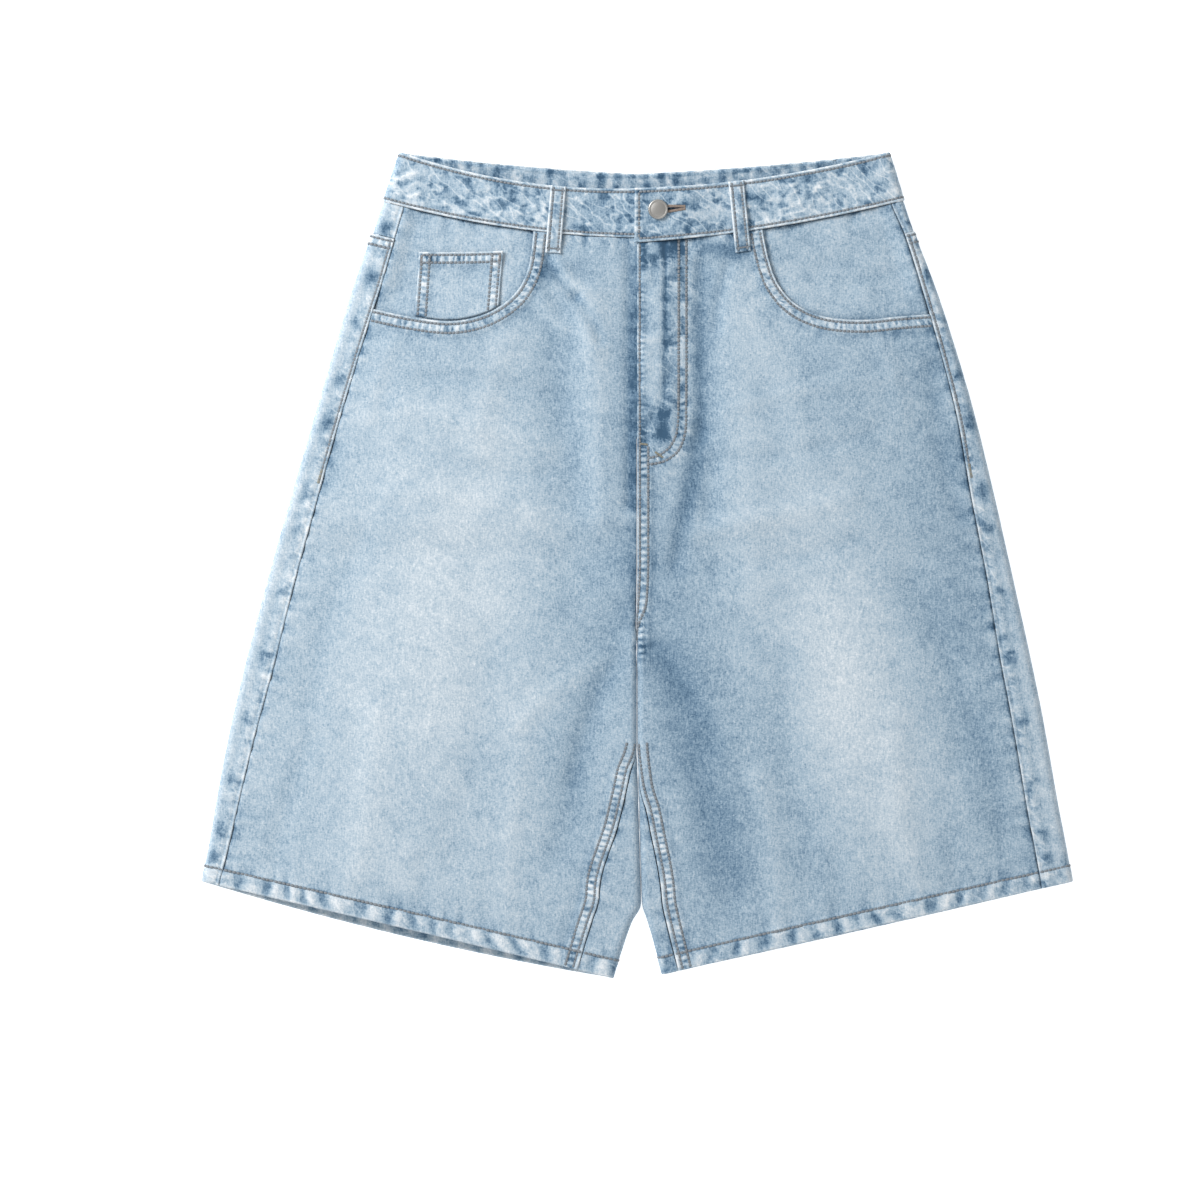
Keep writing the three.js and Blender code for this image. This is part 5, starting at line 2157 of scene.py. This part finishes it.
@dataclass(eq=False, kw_only=True)
class Underside(ClothPiece):
    """A flat piece under the seat, drawn in plan, that rests on the surface.

    Args:
        at: X and Y of the middle of its top.
        turn: How far it is turned, in radians.
        row_depth: How far in from its edges it is sewn.
        stitch_pitch: Length of its stitches.
    """

    at: Place = (0.0, 0.0)
    turn: float = 0.0
    row_depth: float = 2.4
    stitch_pitch: float = 4.0

    @abstractmethod
    def shape(self, s: Array, t: Array) -> tuple[Array, Array]:
        """The piece's own measures at shares across and down it."""

    @abstractmethod
    def edge_distance(self, x: Array, y: Array) -> Array:
        """About the distance from its nearest edge, by its own measures."""

    def placed(self, s: Array | float, t: Array | float) -> Patch:
        """Stations in plan, with down for Y and round for X.

        Args:
            s: Shares across the piece.
            t: Shares down it.

        Returns:
            The stations, turned and moved to their place.
        """
        x, y = np.broadcast_arrays(*self.shape(s, t))
        cos, sin = math.cos(self.turn), math.sin(self.turn)
        return Patch(LEFT, self.at[1] + x * sin + y * cos, self.at[0] + x * cos - y * sin)

    def outside(self, patch: Patch) -> tuple[Array, Array, Look]:
        """The lower face, flat on the surface but for its rolled edges and sewn rows.

        Args:
            patch: The stations.

        Returns:
            Points, outward directions and the look there.
        """
        x, y = patch.around, patch.down
        cos, sin = math.cos(self.turn), math.sin(self.turn)
        away_x, away_y = x - self.at[0], y - self.at[1]
        distance = self.edge_distance(away_x * cos + away_y * sin, away_y * cos - away_x * sin)
        up = 0.5 * np.clip(1.0 - distance, 0, 1) ** 2 + 0.25 * bell(distance - self.row_depth, 0.9)
        look = Look.plain(x, 0.5)
        look.tone = 0.1 * bell(distance - 0.8, 1.0) - 0.05
        points = np.stack([x, y, up], axis=-1)
        normals = np.broadcast_to(np.array([0.0, 0.0, -1.0]), points.shape).copy()
        return points, normals, look


@dataclass(eq=False, kw_only=True)
class BackPocket(Underside):
    """Plain patch pocket on the hidden back.

    Args:
        half: The half that it is on.
        width: Its width at the top.
        side: Length of its sides.
        point: Length down to its point.
        foot_in: How much narrower its foot is, on each side.
        from_centre: How far its middle lies from the centre back.
        top_y: Where its top lies.
        tilt: How far it leans, in radians.
        insets: Shares of half its width between a side and its rows.
    """

    half: Half
    cloth: float = POCKET_CLOTH
    flat: Place = (140.0, 142.0)
    area: float = 17600.0
    width: float = 140.0
    side: float = 118.0
    point: float = 142.0
    foot_in: float = 4.0
    from_centre: float = 102.0
    top_y: float = 188.0
    tilt: float = 0.06
    insets: Place = (0.034, 0.12)

    def __post_init__(self) -> None:
        """Mirrors its place and turn to its side."""
        sign = self.half.side.value
        self.at = (sign * self.from_centre, self.top_y)
        self.turn = sign * self.tilt

    def _half_width(self, depth: Array) -> Array:
        """Half its width at some depths."""
        return self.width / 2 - self.foot_in * np.clip(depth / self.side, 0, 1)

    def shape(self, s: Array, t: Array) -> tuple[Array, Array]:
        """The pocket's own measures at shares across, from -1 to 1, and down."""
        depth = mix(self.point, self.side, np.abs(s)) * t
        return s * self._half_width(depth), -depth

    def patches(self) -> list[Patch]:
        """One net over the pocket."""
        t = steps((0.0, 0.004, 0.009, 0.015, 0.022, 0.032), 0.0, 1.0, 0.045)
        return [self.placed(2 * t[None, :] - 1, t[:, None])]

    def edge_distance(self, x: Array, y: Array) -> Array:
        """About the distance from its nearest edge, by its own measures."""
        half_width = self._half_width(-y)
        foot = mix(self.point, self.side, np.abs(x) / half_width)
        return np.minimum(np.minimum(half_width - np.abs(x), -y), (foot + y) * 0.95)

    def rows(self) -> list[Row]:
        """Two rows round the sides and foot, and two along the top.

        Returns:
            The rows.
        """
        rows = []
        for inset in self.insets:
            far, foot = 1 - inset, 1 - inset / 2
            lines = (
                (-far, np.linspace(0.02, foot, 60)),
                (np.linspace(-far, far, 60), foot),
                (far, np.linspace(foot, 0.02, 60)),
                (np.linspace(-0.96, 0.96, 60), inset / 2),
            )
            rows += [Row(self.placed(s, t), pitch=self.stitch_pitch) for s, t in lines]
        return rows


@dataclass(eq=False, kw_only=True)
class BackLoop(Underside):
    """Plain belt loop on the hidden back.

    Args:
        width: Its width.
        length: Its length.
        half_shares: Shares of its width from the middle to a side.
    """

    slot: str = "denim_band"
    cloth: float = LOOP_CLOTH
    flat: Place = (12.6, 56.5)
    width: float = 12.6
    length: float = 56.5
    half_shares: Numbers = (0.25, 0.34, 0.41, 0.46, 0.5)

    def shape(self, s: Array, t: Array) -> tuple[Array, Array]:
        """The loop's own measures at shares across, from -0.5 to 0.5, and down."""
        return s * self.width, -t * self.length

    def patches(self) -> list[Patch]:
        """One net over the loop."""
        t = steps((0.0, 0.01, 0.022, 0.04), 0.0, 1.0, 0.06)
        return [self.placed(both_ways(self.half_shares)[None, :], t[:, None])]

    def edge_distance(self, x: Array, y: Array) -> Array:
        """Distance from the nearest of its sides, by its own measures."""
        return self.width / 2 - np.abs(x)

    def rows(self) -> list[Row]:
        """Two rows down it."""
        t = np.linspace(0.03, 0.97, 30)
        return [Row(self.placed(s, t), pitch=self.stitch_pitch) for s in (-0.3, 0.3)]


@dataclass(eq=False)
class Button(Piece):
    """Plain metal jeans button with a rolled rim and a domed, satin middle.

    Args:
        name: The solid that it replaces.
        slot: Its material slot.
        segments: How many steps it is turned in.
        radius: Its outer radius.
        shank: Radius of its shank.
        head: Profile of its head from the rim's foot, as distances in from the rim and up.
    """

    name: str = "button"
    slot: str = "button_metal"
    segments: int = 72
    radius: float = 8.0
    shank: float = 1.7
    head: tuple[Place, ...] = (
        (1.0, 0.0), (0.5, 0.1), (0.15, 0.4), (0.0, 0.9), (0.05, 1.45),
        (0.3, 1.9), (0.7, 2.15), (1.1, 2.18), (1.5, 2.05), (1.9, 1.98),
        (2.5, 2.12), (3.5, 2.3), (5.0, 2.5), (6.5, 2.58), (8.0, 2.6),
    )

    def build(self) -> list[bpy.types.Object]:
        """Turns the profile about its axis on the lapped band.

        Returns:
            The button's object.
        """
        over_under = BAND_LIFT + GAP
        over_band = over_under + BAND_LAP_LIFT
        profile = [(0.0, over_under), (self.shank, over_under), (self.shank, over_band)]
        profile += [(self.radius - rim, over_band + height) for rim, height in self.head]
        from_inner, down = BUTTON_AT
        seat = LEFT.layer_point(True, np.array(down), np.array(from_inner)) + ORIGIN
        bm = bmesh.new()
        verts = [bm.verts.new((radius * MM, 0.0, height * MM)) for radius, height in profile]
        edges = [bm.edges.new(pair) for pair in zip(verts, verts[1:])]
        bmesh.ops.spin(
            bm, geom=verts + edges, cent=(0, 0, 0), axis=(0, 0, 1), angle=2 * math.pi, steps=self.segments,
        )
        bmesh.ops.remove_doubles(bm, verts=bm.verts, dist=0.005 * MM)
        bmesh.ops.recalc_face_normals(bm, faces=bm.faces)
        bmesh.ops.translate(bm, verts=bm.verts, vec=Vector(seat) * MM)
        mesh = bpy.data.meshes.new("button_head")
        bm.to_mesh(mesh)
        bm.free()
        mesh.materials.append(METAL.material())
        head = self.settle(bpy.data.objects.new("button_head", mesh), self.slot)
        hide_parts(self.name)
        return [head]


Socket = bpy.types.NodeSocket
Stops = tuple[tuple[float, tuple[int, int, int]], ...]


def linear(red: int, green: int, blue: int) -> tuple[float, float, float, float]:
    """A screen colour from 0 to 255 as a linear one."""
    shares = [value / 255 for value in (red, green, blue)]
    return (*(one / 12.92 if one <= 0.04045 else ((one + 0.055) / 1.055) ** 2.4 for one in shares), 1.0)


@dataclass
class Nodes:
    """Adds nodes to a tree and links them.

    Args:
        tree: The tree.
    """

    tree: bpy.types.NodeTree

    def add(self, kind: str, given: dict[str, object] | None = None, **settings: object) -> bpy.types.Node:
        """Adds a node.

        Args:
            kind: The node's type.
            given: A socket or a value for each input, by the input's name.
            settings: The node's properties.

        Returns:
            The node.
        """
        node = self.tree.nodes.new(kind)
        for key, value in settings.items():
            setattr(node, key, value)
        for key, value in (given or {}).items():
            self.feed(node.inputs[key], value)
        return node

    def feed(self, target: Socket, value: object) -> None:
        """Gives an input what it takes.

        Args:
            target: The input.
            value: A socket that is linked to it, or a value that it is set to.
        """
        if isinstance(value, bpy.types.NodeSocket):
            self.tree.links.new(value, target)
        else:
            target.default_value = value

    def maths(self, operation: str, first: object, second: object = 0.0, clamp: bool = False) -> Socket:
        """One sum of two sockets or numbers.

        Args:
            operation: The sum's name.
            first: Its first socket or number.
            second: Its second one.
            clamp: True if the result is kept between 0 and 1.

        Returns:
            The result's socket.
        """
        node = self.add("ShaderNodeMath", operation=operation, use_clamp=clamp)
        for socket, value in zip(node.inputs, (first, second)):
            self.feed(socket, value)
        return node.outputs[0]

    def times(self, first: object, second: object) -> Socket:
        """One product."""
        return self.maths("MULTIPLY", first, second)

    def plus(self, first: object, second: object) -> Socket:
        """One sum."""
        return self.maths("ADD", first, second)

    def minus(self, first: object, second: object) -> Socket:
        """One difference."""
        return self.maths("SUBTRACT", first, second)

    def noise(self, vector: Socket, scale: object, detail: float, rough: float) -> Socket:
        """Noise from 0 to 1.

        Args:
            vector: The coordinates.
            scale: Its scale, or one for each axis.
            detail: How many finer layers it has.
            rough: How strong those are.

        Returns:
            The noise's socket.
        """
        if isinstance(scale, tuple):
            stretched = self.add("ShaderNodeVectorMath", operation="MULTIPLY")
            self.feed(stretched.inputs[0], vector)
            self.feed(stretched.inputs[1], scale)
            vector, scale = stretched.outputs[0], 1.0
        given = {"Vector": vector, "Scale": scale, "Detail": detail, "Roughness": rough}
        return self.add("ShaderNodeTexNoise", given, noise_dimensions="3D").outputs["Fac"]

    def ramp(self, share: Socket, stops: Stops) -> Socket:
        """Colours along a share.

        Args:
            share: The share, from 0 to 1.
            stops: Each colour's place, and the screen colour.

        Returns:
            The colour's socket.
        """
        node = self.add("ShaderNodeValToRGB", {"Fac": share})
        points = node.color_ramp.elements
        while len(points) < len(stops):
            points.new(0.5)
        for point, (place, colour) in zip(points, stops):
            point.position = place
            point.color = linear(*colour)
        return node.outputs["Color"]


def shaded(name: str, given: dict[str, object]) -> tuple[bpy.types.Material, Nodes, bpy.types.Node]:
    """A new material.

    Args:
        name: Its name.
        given: A value for each of its shader's inputs, by the input's name.

    Returns:
        The material, its nodes and its shader.
    """
    made = bpy.data.materials.new(name)
    made.use_nodes = True
    nodes = Nodes(made.node_tree)
    shader = made.node_tree.nodes["Principled BSDF"]
    for key, value in given.items():
        nodes.feed(shader.inputs[key], value)
    return made, nodes, shader


@dataclass(frozen=True)
class DenimFinish:
    """Washed blue denim, from its darkest tone, where colour is left in seams and shade is painted, to the
    pale tops of its ridges.

    Args:
        stops: Place from dark to pale, and the screen colour there.
        slub: Strength of the threads' unevenness.
        clouding: Strength of the soft clouds in the wash.
        mottling: Strength of the small mottling where the cloth is doubled.
        roughness: Roughness of the cloth.
        specular: Strength of its reflection.
        sheen: Strength of its soft nap.
        relief: Height of the weave, in metres.
        streak_turn: How far the streaks of the mottling lean, in radians.
    """

    stops: Stops = (
        (0.0, (54, 84, 110)),
        (0.25, (102, 129, 152)),
        (0.5, (150, 171, 187)),
        (0.75, (186, 198, 207)),
        (1.0, (218, 223, 227)),
    )
    slub: float = 0.44
    clouding: float = 0.16
    mottling: float = 0.46
    roughness: float = 0.92
    specular: float = 0.25
    sheen: float = 0.12
    relief: float = 0.00035
    streak_turn: float = 0.7

    def _weave(self) -> bpy.types.NodeTree:
        """A group that gives the wash's final tone, and a height for the weave.

        Returns:
            The group.
        """
        group = bpy.data.node_groups.new("denim_weave", "ShaderNodeTree")
        for name, way, kind in (
            ("Position", "INPUT", "Vector"), ("Tone", "INPUT", "Float"), ("Crinkle", "INPUT", "Float"),
            ("Tone", "OUTPUT", "Float"), ("Height", "OUTPUT", "Float"),
        ):
            group.interface.new_socket(name, in_out=way, socket_type=f"NodeSocket{kind}")
        do = Nodes(group)
        given = do.add("NodeGroupInput").outputs
        position = given["Position"]
        slub = do.noise(position, (900.0, 210.0, 400.0), 3.0, 0.65)
        weft = do.noise(position, (480.0, 1050.0, 400.0), 2.0, 0.6)
        grain = do.noise(position, 700.0, 3.0, 0.75)
        cloud = do.noise(position, 48.0, 3.0, 0.55)
        fine = do.plus(do.plus(do.times(slub, 0.36), do.times(weft, 0.24)), do.times(grain, 0.4))
        tone = do.plus(given["Tone"], do.times(do.minus(fine, 0.5), self.slub * 4.0))
        tone = do.plus(tone, do.times(do.minus(cloud, 0.5), self.clouding))
        turning = {"Vector": position, "Angle": self.streak_turn}
        turned = do.add("ShaderNodeVectorRotate", turning, rotation_type="Z_AXIS").outputs["Vector"]
        blotch = do.noise(position, (92.0, 112.0, 100.0), 2.5, 0.55)
        streak = do.noise(turned, (44.0, 104.0, 80.0), 1.2, 0.5)
        dark = do.maths("MULTIPLY", do.minus(0.52, blotch), 6.5, clamp=True)
        line = do.times(do.maths("ABSOLUTE", do.minus(streak, 0.5)), 22.0)
        line = do.maths("SUBTRACT", 1.0, line, clamp=True)
        marks = do.plus(do.minus(do.times(line, 0.6), do.times(dark, 0.8)), 0.2)
        marks = do.times(do.times(marks, self.mottling), given["Crinkle"])
        height = do.plus(fine, do.times(marks, 2.2))
        do.add("NodeGroupOutput", {"Tone": do.plus(tone, marks), "Height": height})
        return group

    def material(self) -> bpy.types.Material:
        """The finish as a material, made once.

        Returns:
            The material.
        """
        made = bpy.data.materials.get("denim")
        if made:
            return made
        made, nodes, shader = shaded("denim", {
            "Roughness": self.roughness,
            "Specular IOR Level": self.specular,
            "Sheen Weight": self.sheen,
            "Sheen Roughness": 0.5,
        })
        given = {
            "Position": nodes.add("ShaderNodeTexCoord").outputs["Object"],
            "Tone": nodes.add("ShaderNodeAttribute", attribute_name="tone").outputs["Fac"],
            "Crinkle": nodes.add("ShaderNodeAttribute", attribute_name="crinkle").outputs["Fac"],
        }
        weave = nodes.add("ShaderNodeGroup", node_tree=self._weave())
        for name, socket in given.items():
            nodes.feed(weave.inputs[name], socket)
        nodes.feed(shader.inputs["Base Color"], nodes.ramp(weave.outputs["Tone"], self.stops))
        relief = {"Strength": 0.5, "Distance": self.relief, "Height": weave.outputs["Height"]}
        nodes.feed(shader.inputs["Normal"], nodes.add("ShaderNodeBump", relief).outputs["Normal"])
        return made


@dataclass(frozen=True)
class ThreadFinish:
    """Matt sewing thread, grey-brown but for the tan and ochre of the bar tacks.

    Args:
        stops: A screen colour for each thread, placed by its share of the last one's number.
        roughness: Roughness of the thread.
    """

    stops: Stops = ((0.0, (122, 128, 134)), (0.5, (140, 126, 116)), (1.0, (142, 140, 126)))
    roughness: float = 0.8

    def material(self) -> bpy.types.Material:
        """The finish as a material, made once.

        Returns:
            The material.
        """
        made = bpy.data.materials.get("thread")
        if made:
            return made
        made, nodes, shader = shaded("thread", {"Roughness": self.roughness})
        tint = nodes.add("ShaderNodeAttribute", attribute_name="tint").outputs["Fac"]
        share = nodes.times(tint, 1 / Thread.OCHRE.value)
        nodes.feed(shader.inputs["Base Color"], nodes.ramp(share, self.stops))
        return made


@dataclass(frozen=True)
class MetalFinish:
    """Satin grey metal.

    Args:
        colour: Its screen colour.
        roughness: Its roughness.
    """

    colour: tuple[int, int, int] = (176, 174, 170)
    roughness: float = 0.42

    def material(self) -> bpy.types.Material:
        """The finish as a material."""
        given = {"Base Color": linear(*self.colour), "Metallic": 1.0, "Roughness": self.roughness}
        return shaded("button_metal", given)[0]


DENIM = DenimFinish()
THREAD = ThreadFinish()
METAL = MetalFinish()


@dataclass
class Studio:
    """Pale floor, soft light from the upper left with strong fill, and a camera straight overhead.

    Args:
        floor_size: Length of the floor's sides, in metres.
        floor_colour: Its screen colour.
        floor_glow: Strength of its own light, which keeps it white.
        view_width: Width of the picture on the garment, in metres.
        view_centre: The picture's middle, in millimetres.
        lens: Focal length of the camera.
        sensor: Width of its sensor.
        lamps: Power, place and size of the key and the fill, in watts and metres.
        sky: Strength of the even light from all round.
    """

    floor_size: float = 6.0
    floor_colour: tuple[int, int, int] = (253, 253, 253)
    floor_glow: float = 0.6
    view_width: float = 0.96
    view_centre: Place = (-29.6, -27.6)
    lens: float = 200.0
    sensor: float = 36.0
    lamps: tuple[tuple[str, float, tuple[float, float, float], float], ...] = (
        ("key", 84.0, (-1.8, 1.45, 1.6), 1.1),
        ("fill", 20.0, (0.5, -1.9, 1.9), 2.4),
    )
    sky: float = 0.5

    def floor(self) -> None:
        """The surface that the garment lies on."""
        bm = bmesh.new()
        bmesh.ops.create_grid(bm, x_segments=1, y_segments=1, size=self.floor_size / 2)
        mesh = bpy.data.meshes.new("floor")
        bm.to_mesh(mesh)
        bm.free()
        plain = {
            "Base Color": linear(*self.floor_colour),
            "Roughness": 0.95,
            "Specular IOR Level": 0.1,
            "Emission Color": (1.0, 1.0, 1.0, 1.0),
            "Emission Strength": self.floor_glow,
        }
        mesh.materials.append(shaded("floor", plain)[0])
        floor = bpy.data.objects.new("floor", mesh)
        bpy.context.scene.collection.objects.link(floor)

    def lights(self) -> None:
        """A key and a fill, both large, and an even sky."""
        for name, power, place, size in self.lamps:
            data = bpy.data.lights.new(name, "AREA")
            data.energy = power
            data.size = size
            lamp = bpy.data.objects.new(name, data)
            lamp.location = place
            lamp.rotation_euler = (-Vector(place)).to_track_quat("-Z", "Y").to_euler()
            bpy.context.scene.collection.objects.link(lamp)
        world = bpy.data.worlds.new("sky")
        world.use_nodes = True
        back = world.node_tree.nodes["Background"]
        back.inputs["Color"].default_value = (1.0, 1.0, 1.0, 1.0)
        back.inputs["Strength"].default_value = self.sky
        bpy.context.scene.world = world

    def camera(self) -> None:
        """Straight down on the garment, with its waist at the top of the picture."""
        data = bpy.data.cameras.new("camera")
        data.lens = self.lens
        data.sensor_width = self.sensor
        away = self.view_width * self.lens / self.sensor
        camera = bpy.data.objects.new("camera", data)
        centre = (np.array([*self.view_centre, 0.0]) + ORIGIN) * MM
        camera.location = (float(centre[0]), float(centre[1]), away + (LOFT + ORIGIN[2]) * MM)
        data.clip_end = 100.0
        bpy.context.scene.collection.objects.link(camera)
        bpy.context.scene.camera = camera

    def build(self) -> None:
        """Sets up the whole studio."""
        self.floor()
        self.lights()
        self.camera()
        bpy.context.scene.view_settings.view_transform = "Standard"
        bpy.context.scene.view_settings.look = "None"


# The kinds of piece that each half has, their names and what they rest on
HALF_PIECES = (
    (BackPocket, "back_pocket", ()),
    (BackPanel, "back_panel", ()),
    (BackYoke, "back_yoke", ()),
    (PocketFacing, "pocket_facing", ("back_yoke", "back_panel")),
    (FrontPanel, "front_panel", ("back_panel",)),
)


def all_pieces() -> list[Piece]:
    """Every piece, from the hidden back to the button.

    Returns:
        The pieces in the order in which they are built.
    """
    made: list[Piece] = [
        BackLoop(name="belt_loop_back_centre", at=(0.0, BACK_LOOP_TOP)),
        BackLoop(name="belt_loop_back_right", at=(-118.0, 322.0), turn=-0.1),
        BackLoop(name="belt_loop_back_left", at=(118.0, 322.0), turn=0.1),
    ]
    for half in (RIGHT, LEFT):
        for kind, label, below in HALF_PIECES:
            rests_on = tuple(f"{other}_{half.name}" for other in below)
            made.append(kind(name=f"{label}_{half.name}", half=half, rests_on=rests_on))
    made += [
        CoinPocket(),
        Waistband(),
        FrontLoop(name="belt_loop_front_right", half=RIGHT, top_at=63.6, foot_at=68.0),
        FrontLoop(name="belt_loop_front_left", half=LEFT, top_at=80.0, foot_at=86.0),
        Button(),
    ]
    return made


def main() -> None:
    """Builds the pieces in order, then the studio."""
    logging.basicConfig(level=logging.INFO, format="%(message)s")
    for piece in all_pieces():
        built = piece.build()
        counts = ", ".join(f"{item.name} {len(item.data.polygons)} faces" for item in built)
        log.info("%s: %s", piece.name, counts)
    Studio().build()


if __name__ == "__main__":
    main()
